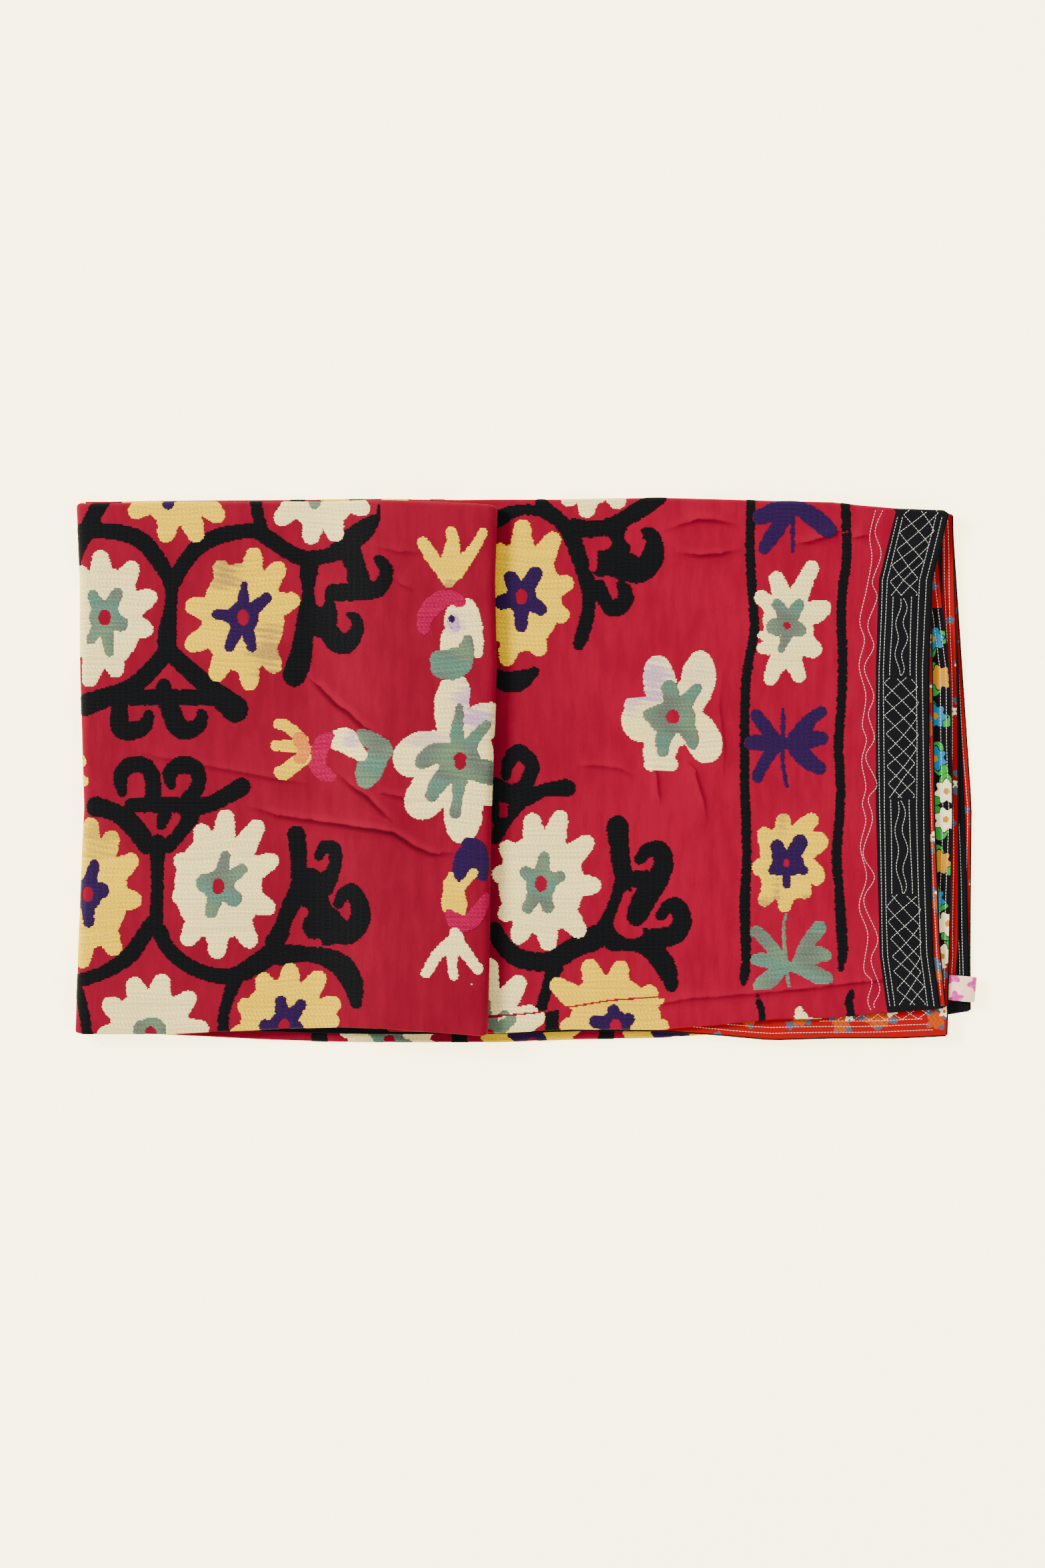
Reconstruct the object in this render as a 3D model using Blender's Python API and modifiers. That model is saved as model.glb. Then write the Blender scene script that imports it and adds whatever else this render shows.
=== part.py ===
"""A folded suzani: a lined, embroidered cotton wall hanging with quilted black border bands.

It is folded in four across its height and then laid over itself along its width, so that a short
flap lies on the bundle. The frame is in metres with +Z up, +X along the folded width towards the
free hems, and +Y across it. The origin is under the middle of the bundle, on what it lies on.

Every sheet is one flat cloth carried through the same two folds. The fold across the height is
a section of four layers in the plane of Y and the bundle's own normal. That section then runs
along a back-and-forth path in the plane of X and Z: panel, turn, flap, underlay.
"""

import math
from collections import namedtuple

import bmesh
import bpy
import numpy as np

MM = 0.001

# The middle of the bundle's box, in the tables' millimetres
MIDDLE = np.array((3.56, 0.38, 0.0))

# Cloth, in millimetres
PLY = 1.0
PLY_GAP = 0.3
HALF_CLOTH = PLY + PLY_GAP / 2
LAYER = 2 * HALF_CLOTH + PLY_GAP
BAND_WIDTH = 58.0
SEAM = 0.3

# Levels of the path, in millimetres: a run is four layers thick
RUN_HALF = 1.5 * LAYER + HALF_CLOTH
FOLD_RADIUS = RUN_HALF + PLY_GAP
OUTER_REACH = FOLD_RADIUS + RUN_HALF
UNDER_Z = RUN_HALF
PANEL_Z = UNDER_Z + 2 * FOLD_RADIUS
TURN_Z = PANEL_Z + 2 * FOLD_RADIUS
FLAP_Z = TURN_Z + 2 * FOLD_RADIUS
RAMP_LENGTH = 95.0

# Where the hidden turn lies, and the places at which edges and extents are looked up
TURN_X = -154.0
FLAP_X = -33.0
LEFT_X = -494.0
BAND_SEAM_LOOKUP = 400.0
HEM_LOOKUP = 465.0

# Ends of the layers of each run along X. Layers are numbered from a run's outer side: 1 and 3
# show the face, 2 and 4 the lining. Left and flap are the outermost points of those two folds
EDGE_COLUMNS = (
    "y", "left", "flap",
    "panel_1", "panel_2", "panel_3", "panel_4",
    "under_1", "under_2", "under_3", "under_4",
)
EDGE_ROWS = (
    (-296, -499.5, -39, 467.0, 473.0, 463, 471.4, 498.8, 498.0, 477.0, 466),
    (-206, -496.0, -37, 455.0, 463.0, 450, 473.6, 498.0, 496.5, 484.5, 466),
    (-40, -489.5, -35, 450.7, 456.6, 447, 478.0, 499.5, 491.4, 484.7, 466),
    (115, -494.0, -29, 450.6, 454.4, 448, 474.3, 489.0, 484.7, 483.0, 466),
    (212, -494.0, -31, 454.0, 453.6, 449, 463.0, 482.5, 479.5, 480.0, 466),
    (296, -498.0, -28, 475.0, 455.0, 451, 459.0, 477.0, 474.0, 478.0, 466),
)

# Where each run folds at its top and bottom, along X
EXTENT_COLUMNS = (
    "x", "flap_top", "flap_bottom", "panel_top", "panel_bottom", "panel_hem", "under_top", "under_bottom",
)
EXTENT_ROWS = (
    (-500, 297.0, -293.0, 300.0, -290.0, -285.0, 299.0, -290.0),
    (-407, 299.0, -293.0, 300.0, -290.0, -285.0, 301.0, -294.0),
    (-289, 299.5, -288.0, 300.0, -290.0, -285.0, 302.0, -300.0),
    (-211, 299.0, -285.0, 300.0, -290.0, -285.0, 302.5, -302.5),
    (-149, 300.0, -286.0, 300.0, -290.0, -285.0, 303.0, -303.0),
    (-33, 295.0, -294.5, 302.0, -292.0, -287.0, 302.0, -303.0),
    (55, 295.0, -294.5, 302.0, -287.5, -288.0, 301.5, -300.0),
    (151, 295.0, -294.5, 304.0, -288.0, -289.0, 302.0, -298.0),
    (211, 295.0, -294.5, 302.5, -283.5, -293.0, 301.0, -294.0),
    (277, 295.0, -294.5, 300.5, -277.0, -299.0, 299.0, -290.0),
    (344, 295.0, -294.5, 299.0, -275.0, -297.0, 297.0, -284.0),
    (406, 295.0, -294.5, 292.0, -269.0, -297.0, 291.0, -277.0),
    (475, 295.0, -294.5, 290.0, -264.0, -294.0, 288.5, -267.0),
)

# How far the two free hems and the hidden turn stay inside a run's folds
INNER_HEM_INSET = 14.0
OUTER_HEM_INSET = 11.0
TURN_INSET = 3.0

# Creases of the top layer: a straight ridge between two points, with its height and half width
CREASES = (
    (-448, 23, -292, -3, 2.0, 14),
    (-292, -3, -166, -36, 3.0, 13),
    (-166, -36, -92, -88, 4.5, 14),
    (-300, -44, -159, -70, 2.5, 12),
    (-159, -70, -70, -92, 4.0, 14),
    (-237, 104, -159, 41, 2.5, 13),
    (163, 282, 248, 274, 2.0, 10),
    (174, 237, 366, 249, 2.0, 13),
    (198, 4, 198, -99, 1.5, 15),
    (-10, -271, 162, -255, 2.5, 10),
    (162, -255, 400, -231, 2.5, 10),
)

# X of the grid's lines on the straight runs, and the heights added to the top layer for its creases
PANEL_LINES = (372, 330, 277, 211, 151, 55, -33, -149)
FLAP_LINES = (-43, -85, -118, -149, -168, -187, -206, -225, -244, -285, -339, -407, -484)
UNDER_LINES = (-484, -407, -289, -211, -149, -33, 55, 151, 211, 277, 344, 390)
CREASED_LINES = (-275, -255, -230, -150, -105, -80, -60, -18, 5, 30, 60)
PATH_FOLD_STEPS = 5
OUTER_FOLD_STEPS = 5
INNER_FOLD_STEPS = 4

# The hanging loop: its centre line seen from its side, as X and Z, from its lower root to its upper one
LOOP_THICKNESS = 1.1
LOOP_WIDTH = 28.0
LOOP_Y = -241.0
LOOP_TURN = math.radians(-5)
LOOP_LINE = (
    (468.2, 8.35), (475.0, 8.35), (483.0, 8.3), (488.5, 6.9), (495.0, 6.1), (501.0, 6.8), (504.2, 9.8),
    (501.8, 13.0), (496.5, 14.4), (489.5, 14.3), (483.5, 12.8), (478.5, 10.9), (474.0, 9.9), (468.2, 9.85),
)
LOOP_STEPS = 3

Material = namedtuple("Material", "colour roughness")
GROUND_RED = Material((0.42, 0.015, 0.035), 0.7)
BAND_BLACK = Material((0.012, 0.012, 0.014), 0.85)
LINING_PRINT = Material((0.72, 0.03, 0.02), 0.8)
LOOP_PRINT = Material((0.72, 0.5, 0.45), 0.85)

Place = namedtuple("Place", "part share x top bottom inner_hem outer_hem")


def clear_scene():
    for thing in list(bpy.data.objects):
        bpy.data.objects.remove(thing, do_unlink=True)


def column(columns, rows, name, at):
    """The named column of a table, read between its rows at a value of its first column."""
    table = np.array(rows, float)
    return float(np.interp(at, table[:, 0], table[:, columns.index(name)]))


def edge(name, y):
    return column(EDGE_COLUMNS, EDGE_ROWS, name, y)


def extent(name, x):
    return column(EXTENT_COLUMNS, EXTENT_ROWS, name, x)


def mix(a, b, share):
    return a + (b - a) * share


def run_extents(run, x):
    """Top fold, bottom fold, inner hem and outer hem of one run of the path at x."""
    if run == "turn":
        top, bottom = extent("flap_top", x) - TURN_INSET, extent("flap_bottom", x) + TURN_INSET
    else:
        top, bottom = extent(run + "_top", x), extent(run + "_bottom", x)
    outer_hem = extent("panel_hem", x) if run == "panel" else bottom + OUTER_HEM_INSET
    return top, bottom, bottom + INNER_HEM_INSET, outer_hem


def run_place(run, x, share=0.0, part=None):
    return Place(part or run, share, x, *run_extents(run, x))


def fold_places(part, before, after, x):
    """The places inside a fold of the path, between the end of one run and the start of the next."""
    first, last = run_extents(before, x), run_extents(after, x)
    shares = [step / PATH_FOLD_STEPS for step in range(1, PATH_FOLD_STEPS)]
    return [Place(part, share, x, *(mix(a, b, share) for a, b in zip(first, last))) for share in shares]


def path_places():
    """Every line along the path between the two seams of the border bands."""
    places = [run_place("panel", BAND_SEAM_LOOKUP, part="panel_seam")]
    places += [run_place("panel", x) for x in PANEL_LINES]
    places += fold_places("turn_fold", "panel", "turn", TURN_X)
    places += [run_place("turn", TURN_X, 0.0), run_place("turn", FLAP_X, 1.0)]
    places += fold_places("flap_fold", "turn", "flap", FLAP_X)
    places += [run_place("flap", x) for x in FLAP_LINES]
    places += fold_places("left_fold", "flap", "under", LEFT_X)
    places += [run_place("under", x) for x in UNDER_LINES]
    places.append(run_place("under", BAND_SEAM_LOOKUP, part="under_seam"))
    return places


def panel_band_places():
    return [run_place("panel", HEM_LOOKUP, part="panel_hem"), run_place("panel", BAND_SEAM_LOOKUP, part="panel_band")]


def under_band_places():
    return [run_place("under", BAND_SEAM_LOOKUP, part="under_band"), run_place("under", HEM_LOOKUP, part="under_hem")]


def straight_lines(layer, creased=False):
    """The lines across a straight layer. A layer with a hem has its band's seam as its lowest line."""
    marks = [row[0] for row in EDGE_ROWS[1:-1]]
    if creased:
        marks = sorted(marks + list(CREASED_LINES))
    if layer in ("3", "4"):
        marks[0] = "band"
    if layer in ("2", "4"):
        marks = marks[::-1]
    return [(layer, "start")] + [(layer, mark) for mark in marks] + [(layer, "end")]


def fold_lines(name, steps):
    return [(name, step / steps) for step in range(1, steps)]


def section_lines():
    """Every line across the cloth, from its inner hem to its outer one."""
    lines = straight_lines("3")
    lines += fold_lines("inner_top", INNER_FOLD_STEPS)
    lines += straight_lines("2")
    lines += fold_lines("bottom", INNER_FOLD_STEPS)
    lines += straight_lines("1")
    lines += fold_lines("outer_top", OUTER_FOLD_STEPS)
    lines += straight_lines("4")
    return lines


def ground_lines():
    """The same between the two bands along the hems, with more lines on the creased top layer."""
    lines = section_lines()[1:-1]
    first, last = lines.index(("1", "start")), lines.index(("1", "end"))
    return lines[:first] + straight_lines("1", creased=True) + lines[last + 1 :]


def inner_band_lines():
    return [("3", "start"), ("3", "band_edge")]


def outer_band_lines():
    return [("4", "band_edge"), ("4", "end")]


def straight_height(layer, mark, place, top_centre, bottom_centre):
    """Y of a line on a straight layer. Numbers are heights, the words are its ends and its seam."""
    hem = place.inner_hem if layer == "3" else place.outer_hem
    ends = {
        "1": (bottom_centre, top_centre),
        "2": (top_centre, bottom_centre),
        "3": (hem, top_centre),
        "4": (top_centre, hem),
    }[layer]
    words = {
        "start": ends[0],
        "end": ends[1],
        "band": hem + BAND_WIDTH + SEAM,
        "band_edge": hem + BAND_WIDTH,
    }
    if mark in words:
        return words[mark]
    return min(max(mark, min(ends) + 1.0), max(ends) - 1.0)


def section_point(line, place, offset):
    """(y, n, layer weights) of a line: n is along the run's normal, offset is towards the face."""
    kind, mark = line
    top_centre = place.top - RUN_HALF
    bottom_centre = place.bottom + LAYER / 2 + HALF_CLOTH
    if kind == "inner_top":
        angle = math.pi * (mark - 0.5)
        radius = LAYER / 2 - offset
        return top_centre + radius * math.cos(angle), radius * math.sin(angle), {"3": 1 - mark, "2": mark}
    if kind == "bottom":
        angle = math.pi * (mark - 0.5)
        radius = LAYER / 2 + offset
        return bottom_centre - radius * math.cos(angle), LAYER + radius * math.sin(angle), {"2": 1 - mark, "1": mark}
    if kind == "outer_top":
        angle = math.pi * (0.5 - mark)
        radius = 1.5 * LAYER + offset
        return top_centre + radius * math.cos(angle), radius * math.sin(angle), {"1": 1 - mark, "4": mark}
    y = straight_height(kind, mark, place, top_centre, bottom_centre)
    middle, facing = {"1": (1.5, 1), "2": (0.5, -1), "3": (-0.5, 1), "4": (-1.5, -1)}[kind]
    return y, middle * LAYER + facing * offset, {kind: 1.0}


def ramp(x):
    """How far the flap has sunk at x: it lies on the turn at its free end, and on the underlay past it."""
    share = min(max((TURN_X + FOLD_RADIUS - x) / RAMP_LENGTH, 0.0), 1.0)
    return (FLAP_Z - PANEL_Z) * share * share * (3 - 2 * share)


def crease(x, y):
    """Height of the creases of the top layer at a point."""
    best = 0.0
    for x0, y0, x1, y1, height, half_width in CREASES:
        dx, dy = x1 - x0, y1 - y0
        share = min(max(((x - x0) * dx + (y - y0) * dy) / (dx * dx + dy * dy), 0.0), 1.0)
        away = math.hypot(x - x0 - share * dx, y - y0 - share * dy) / half_width
        best = max(best, height * math.exp(-away * away))
    return best


def hem_x(run, weights, y):
    return sum(share * edge(f"{run}_{layer}", y) for layer, share in weights.items())


def fold_point(part, share, y, n, left_end, flap_end):
    """A point inside one of the three half-turns of the path."""
    if part == "turn_fold":
        angle, radius = -math.pi * (0.5 + share), FOLD_RADIUS - n
        centre = (TURN_X + FOLD_RADIUS, PANEL_Z + FOLD_RADIUS)
    elif part == "flap_fold":
        angle, radius = math.pi * (share - 0.5), FOLD_RADIUS + n
        centre = (flap_end, TURN_Z + FOLD_RADIUS)
    else:
        angle, radius = math.pi * (0.5 + share), FOLD_RADIUS + n
        centre = (left_end, UNDER_Z + FOLD_RADIUS)
    return centre[0] + radius * math.cos(angle), y, centre[1] + radius * math.sin(angle)


def cloth_point(place, line, offset, creased):
    """The point of the cloth on one line across it and one place along the path."""
    y, n, weights = section_point(line, place, offset)
    left_end = edge("left", y) + OUTER_REACH
    flap_end = edge("flap", y) - OUTER_REACH
    part = place.part
    on_top = creased and line[0] == "1"
    if part.endswith("_fold"):
        return fold_point(part, place.share, y, n, left_end, flap_end)
    if part == "turn":
        return mix(TURN_X + FOLD_RADIUS, flap_end, place.share), y, TURN_Z - n
    if part == "flap":
        reach = (place.x - FLAP_LINES[0]) / (FLAP_LINES[-1] - FLAP_LINES[0])
        x = place.x + mix(flap_end - FLAP_LINES[0], left_end - FLAP_LINES[-1], reach)
        return x, y, FLAP_Z - ramp(place.x) + n + (crease(x, y) if on_top else 0.0)
    if part == "under":
        x = left_end if place.x == UNDER_LINES[0] else place.x
        return x, y, UNDER_Z - n
    if part == "panel":
        x = TURN_X + FOLD_RADIUS if place.x == PANEL_LINES[-1] else place.x
        return x, y, PANEL_Z + n + (crease(x, y) if on_top and place.x > FLAP_X else 0.0)
    run, edge_kind = part.split("_")
    x = hem_x(run, weights, y) - {"hem": 0.0, "band": BAND_WIDTH, "seam": BAND_WIDTH + SEAM}[edge_kind]
    return x, y, (PANEL_Z + n if run == "panel" else UNDER_Z - n)


def skin(places, lines, offset, creased):
    return np.array([[cloth_point(place, line, offset, creased) for line in lines] for place in places])


def closed_grid(near, far):
    """Points and faces of the body between two grids of the same size."""
    rows, columns = near.shape[:2]
    points = np.concatenate([near.reshape(-1, 3), far.reshape(-1, 3)])
    index = np.arange(rows * columns).reshape(rows, columns)
    back = index + rows * columns
    faces = []
    for i in range(rows - 1):
        for j in range(columns - 1):
            faces.append((index[i, j], index[i, j + 1], index[i + 1, j + 1], index[i + 1, j]))
            faces.append((back[i, j], back[i + 1, j], back[i + 1, j + 1], back[i, j + 1]))
    for i in range(rows - 1):
        faces.append((index[i, 0], index[i + 1, 0], back[i + 1, 0], back[i, 0]))
        faces.append((index[i, -1], back[i, -1], back[i + 1, -1], index[i + 1, -1]))
    for j in range(columns - 1):
        faces.append((index[0, j], back[0, j], back[0, j + 1], index[0, j + 1]))
        faces.append((index[-1, j], index[-1, j + 1], back[-1, j + 1], back[-1, j]))
    return points, [tuple(int(k) for k in face) for face in faces]


def finish_mesh(mesh):
    """Triangles with their faces pointing out: the enclosed volume tells whether they do."""
    shape = bmesh.new()
    shape.from_mesh(mesh)
    bmesh.ops.triangulate(shape, faces=shape.faces)
    if shape.calc_volume(signed=True) < 0:
        bmesh.ops.reverse_faces(shape, faces=shape.faces)
    shape.to_mesh(mesh)
    shape.free()
    mesh.shade_smooth()
    mesh.set_sharp_from_angle(angle=math.radians(50))


def painted(name, material):
    made = bpy.data.materials.new(name)
    made.use_nodes = True
    shader = made.node_tree.nodes["Principled BSDF"]
    shader.inputs["Base Color"].default_value = (*material.colour, 1.0)
    shader.inputs["Roughness"].default_value = material.roughness
    shader.inputs["Metallic"].default_value = 0.0
    return made


def add_object(collection, name, mesh, material):
    made = bpy.data.objects.new(name, mesh)
    made.data.materials.append(painted(name, material))
    collection.objects.link(made)
    return made


def add_sheet(collection, name, places, lines, offsets, material, creased=False):
    """One ply of the cloth, between two offsets from the middle of its thickness."""
    near, far = (skin(places, lines, offset, creased) - MIDDLE for offset in offsets)
    points, faces = closed_grid(near * MM, far * MM)
    mesh = bpy.data.meshes.new(name)
    mesh.from_pydata(points.tolist(), [], faces)
    finish_mesh(mesh)
    return add_object(collection, name, mesh, material)


def smooth_line(points, steps):
    """Points read from a Catmull-Rom curve through the given ones."""
    given = np.array([points[0], *points, points[-1]], float)
    found = []
    for i in range(1, len(given) - 2):
        before, here, after, beyond = given[i - 1 : i + 3]
        for step in range(steps):
            t = step / steps
            found.append(
                0.5 * (
                    2 * here
                    + (after - before) * t
                    + (2 * before - 5 * here + 4 * after - beyond) * t**2
                    + (3 * here - before - 3 * after + beyond) * t**3
                )
            )
    found.append(given[-2])
    return np.array(found)


def add_hanging_loop(collection):
    """A strip of printed cotton doubled into a loop, its two roots under the panel's outer hem."""
    line = smooth_line(LOOP_LINE, LOOP_STEPS)
    root_x = LOOP_LINE[0][0]
    points = []
    for x, z in line:
        for side in (-LOOP_WIDTH / 2, LOOP_WIDTH / 2):
            along = x - root_x
            points.append((
                root_x + along * math.cos(LOOP_TURN) - side * math.sin(LOOP_TURN),
                LOOP_Y + along * math.sin(LOOP_TURN) + side * math.cos(LOOP_TURN),
                z,
            ))
    faces = [(2 * i, 2 * i + 1, 2 * i + 3, 2 * i + 2) for i in range(len(line) - 1)]
    mesh = bpy.data.meshes.new("hanging_loop")
    mesh.from_pydata(((np.array(points) - MIDDLE) * MM).tolist(), [], faces)
    mesh.shade_smooth()
    loop = add_object(collection, "hanging_loop", mesh, LOOP_PRINT)
    wall = loop.modifiers.new("cloth", "SOLIDIFY")
    wall.thickness = LOOP_THICKNESS * MM
    wall.offset = 0.0
    wall.use_even_offset = True
    return loop


def main():
    clear_scene()
    collection = bpy.data.collections.new("folded_suzani")
    bpy.context.scene.collection.children.link(collection)

    face = (PLY_GAP / 2, HALF_CLOTH)
    back = (-HALF_CLOTH, -PLY_GAP / 2)
    between = path_places()
    whole = [panel_band_places()[0], *between, under_band_places()[1]]
    across = section_lines()

    add_sheet(collection, "ground_cloth", between, ground_lines(), face, GROUND_RED, creased=True)
    add_sheet(collection, "lining", whole, across, back, LINING_PRINT)
    add_sheet(collection, "border_band_panel_end", panel_band_places(), across, face, BAND_BLACK)
    add_sheet(collection, "border_band_under_end", under_band_places(), across, face, BAND_BLACK)
    add_sheet(collection, "border_band_inner_side", between, inner_band_lines(), face, BAND_BLACK)
    add_sheet(collection, "border_band_outer_side", between, outer_band_lines(), face, BAND_BLACK)
    add_hanging_loop(collection)


main()
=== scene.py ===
"""Looks of the folded suzani: cotton, yarn embroidery, quilted bands, printed lining and loop.

Every sheet follows the same two folds as the solid that it replaces. Shapes are worked out in
millimetres and moved to the frame at the end. The embroidery is worked in rows of yarn: a chart
says which colour lies where, each stretch of one colour along a row becomes a ridge of yarn, and
the ridge is laid on the folded cloth.
"""

import math
from collections import namedtuple

import bpy
import numpy as np
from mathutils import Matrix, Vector


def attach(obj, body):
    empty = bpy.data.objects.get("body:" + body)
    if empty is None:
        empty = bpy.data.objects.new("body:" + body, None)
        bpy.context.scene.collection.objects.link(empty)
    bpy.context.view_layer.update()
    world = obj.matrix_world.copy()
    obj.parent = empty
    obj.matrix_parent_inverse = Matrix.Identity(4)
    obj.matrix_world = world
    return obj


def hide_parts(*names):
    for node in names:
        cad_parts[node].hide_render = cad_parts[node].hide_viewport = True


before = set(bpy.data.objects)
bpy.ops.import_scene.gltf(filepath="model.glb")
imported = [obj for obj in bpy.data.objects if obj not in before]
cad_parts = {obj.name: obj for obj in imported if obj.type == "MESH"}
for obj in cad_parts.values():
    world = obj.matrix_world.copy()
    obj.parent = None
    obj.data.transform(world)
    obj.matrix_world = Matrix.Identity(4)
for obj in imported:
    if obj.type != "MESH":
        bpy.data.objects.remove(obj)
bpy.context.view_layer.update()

MM = 0.001
# The place that lies at the origin, in millimetres
MIDDLE = np.array((3.56, 0.38, 0.0))

# Cloth and folds, in millimetres
PLY = 1.0
PLY_GAP = 0.3
HALF_CLOTH = PLY + PLY_GAP / 2
LAYER = 2 * HALF_CLOTH + PLY_GAP
BAND_WIDTH = 58.0
SEAM = 0.3
RUN_HALF = 1.5 * LAYER + HALF_CLOTH
NOSE_RADIUS = LAYER / 2 + HALF_CLOTH
FOLD_RADIUS = RUN_HALF + PLY_GAP
OUTER_REACH = FOLD_RADIUS + RUN_HALF
UNDER_Z = RUN_HALF
PANEL_Z = UNDER_Z + 2 * FOLD_RADIUS
TURN_Z = PANEL_Z + 2 * FOLD_RADIUS
FLAP_Z = TURN_Z + 2 * FOLD_RADIUS
RAMP_LENGTH = 95.0
TURN_X = -154.0
FLAP_X = -33.0
LEFT_X = -494.0
BAND_SEAM_LOOKUP = 400.0
HEM_LOOKUP = 465.0
PANEL_SEAM_FROM = 372.0
UNDER_SEAM_FROM = 390.0
UNDER_LEFT_TO = -440.0

EDGE_COLUMNS = (
    "y", "left", "flap",
    "panel_1", "panel_2", "panel_3", "panel_4",
    "under_1", "under_2", "under_3", "under_4",
)
EDGE_ROWS = (
    (-296, -499.5, -39, 467.0, 473.0, 463, 471.4, 498.8, 498.0, 477.0, 466),
    (-206, -496.0, -37, 455.0, 463.0, 450, 473.6, 498.0, 496.5, 484.5, 466),
    (-40, -489.5, -35, 450.7, 456.6, 447, 478.0, 499.5, 491.4, 484.7, 466),
    (115, -494.0, -29, 450.6, 454.4, 448, 474.3, 489.0, 484.7, 483.0, 466),
    (212, -494.0, -31, 454.0, 453.6, 449, 463.0, 482.5, 479.5, 480.0, 466),
    (296, -498.0, -28, 475.0, 455.0, 451, 459.0, 477.0, 474.0, 478.0, 466),
)
EXTENT_COLUMNS = (
    "x", "flap_top", "flap_bottom", "panel_top", "panel_bottom", "panel_hem", "under_top", "under_bottom",
)
EXTENT_ROWS = (
    (-500, 297.0, -293.0, 300.0, -290.0, -285.0, 299.0, -290.0),
    (-407, 299.0, -293.0, 300.0, -290.0, -285.0, 301.0, -294.0),
    (-289, 299.5, -288.0, 300.0, -290.0, -285.0, 302.0, -300.0),
    (-211, 299.0, -285.0, 300.0, -290.0, -285.0, 302.5, -302.5),
    (-149, 300.0, -286.0, 300.0, -290.0, -285.0, 303.0, -303.0),
    (-33, 295.0, -294.5, 302.0, -292.0, -287.0, 302.0, -303.0),
    (55, 295.0, -294.5, 302.0, -287.5, -288.0, 301.5, -300.0),
    (151, 295.0, -294.5, 304.0, -288.0, -289.0, 302.0, -298.0),
    (211, 295.0, -294.5, 302.5, -283.5, -293.0, 301.0, -294.0),
    (277, 295.0, -294.5, 300.5, -277.0, -299.0, 299.0, -290.0),
    (344, 295.0, -294.5, 299.0, -275.0, -297.0, 297.0, -284.0),
    (406, 295.0, -294.5, 292.0, -269.0, -297.0, 291.0, -277.0),
    (475, 295.0, -294.5, 290.0, -264.0, -294.0, 288.5, -267.0),
)
INNER_HEM_INSET = 14.0
OUTER_HEM_INSET = 11.0
TURN_INSET = 3.0

# A chart unit is 0.74 mm, x to the right and y down, and (785, 1156) is the middle
UNIT = 0.74
CHART_MIDDLE = (785.0, 1156.0)
FRAME_HEIGHT = 2352

# Creases of the top layer: half width in millimetres, then chart places with the ridge's height
CREASES = (
    (9, ((200, 1126, 0), (250, 1138, 2.0), (300, 1147, 2.5), (360, 1158, 3.0), (417, 1169, 3.0),
         (470, 1176, 0))),
    (10, ((366, 1207, 0), (417, 1223, 4.0), (526, 1239, 5.5), (590, 1248, 6.5), (628, 1272, 5.5),
          (650, 1280, 4.5), (690, 1278, 0))),
    (10, ((463, 1011, 0), (480, 1030, 5.0), (504, 1055, 6.0), (524, 1069, 5.5), (542, 1087, 5.0),
          (585, 1112, 0))),
    (10, ((500, 1155, 0), (530, 1180, 4.5), (553, 1196, 5.5), (574, 1217, 5.0), (590, 1232, 4.0),
          (606, 1240, 0))),
    (7, ((545, 1186, 0), (575, 1190, 4.0), (612, 1197, 4.0), (634, 1200, 0))),
    (8, ((556, 820, 0), (600, 828, 3.0), (640, 831, 0))),
    (7, ((586, 864, 0), (606, 878, 2.5), (628, 888, 0))),
    (8, ((990, 797, 0), (1048, 778, 5.0), (1080, 780, 4.0), (1113, 787, 0))),
    (8, ((1010, 828, 0), (1050, 832, 4.5), (1081, 830, 4.5), (1116, 822, 0))),
    (8, ((989, 1210, 0), (988, 1190, 3.5), (986, 1165, 3.5), (980, 1140, 0))),
    (8, ((1062, 1240, 0), (1056, 1200, 3.5), (1044, 1160, 3.5), (1030, 1140, 0))),
    (7, ((1189, 816, 0), (1215, 812, 4.5), (1254, 800, 4.5), (1263, 797, 0))),
    (7, ((1274, 807, 0), (1290, 803, 4.5), (1314, 803, 0))),
    (8, ((862, 1150, 0), (890, 1148, 2.5), (930, 1152, 2.5), (960, 1168, 0))),
    (9, ((1085, 1180, 0), (1088, 1120, 2.0), (1080, 1060, 2.0), (1085, 1000, 0))),
    (5, ((996, 1506, 3.0), (1030, 1499, 4.0), (1100, 1494, 4.0), (1205, 1484, 4.0), (1327, 1470, 3.0))),
)
CREASE_SPAN = 20.0

# Small unevenness of the top layer: wavelength, direction in degrees, shift, height
RIPPLES = (
    (142, 12, 0.4, 0.45),
    (96, 74, 1.9, 0.40),
    (71, 103, 3.1, 0.30),
    (47, 88, 0.7, 0.22),
    (38, 31, 5.2, 0.16),
    (27, 95, 2.2, 0.12),
)
RIPPLE_FADE = 14.0

Places = namedtuple("Places", "code share x top bottom inner_hem outer_hem")
PANEL, TURN_FOLD, TURN, FLAP_FOLD, FLAP, LEFT_FOLD, UNDER_LEFT, UNDER, PANEL_END, UNDER_END = range(10)


def mix(a, b, share):
    return a + (b - a) * share


def chart(points):
    """Chart units to millimetres. A third column, a width or height, is only scaled."""
    points = np.array(points, float)
    points[:, 0] = (points[:, 0] - CHART_MIDDLE[0]) * UNIT
    points[:, 1] = (CHART_MIDDLE[1] - points[:, 1]) * UNIT
    points[:, 2:] *= UNIT
    return points


def stacked(*parts):
    """Coordinates that are broadcast together, as points."""
    return np.stack(np.broadcast_arrays(*parts), axis=-1)


def unit(vectors):
    return vectors / np.maximum(np.linalg.norm(vectors, axis=-1, keepdims=True), 1e-9)


def walked(path):
    """The length walked along a path at each of its points."""
    return np.concatenate([[0], np.cumsum(np.linalg.norm(np.diff(path, axis=0), axis=1))])


def smooth(share):
    """0 below 0, 1 above 1, and 3 s squared minus 2 s cubed between."""
    share = np.clip(share, 0.0, 1.0)
    return share * share * (3 - 2 * share)


def column(columns, rows, name, at):
    table = np.array(rows, float)
    return np.interp(at, table[:, 0], table[:, columns.index(name)])


def edge(name, y):
    return column(EDGE_COLUMNS, EDGE_ROWS, name, y)


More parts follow.
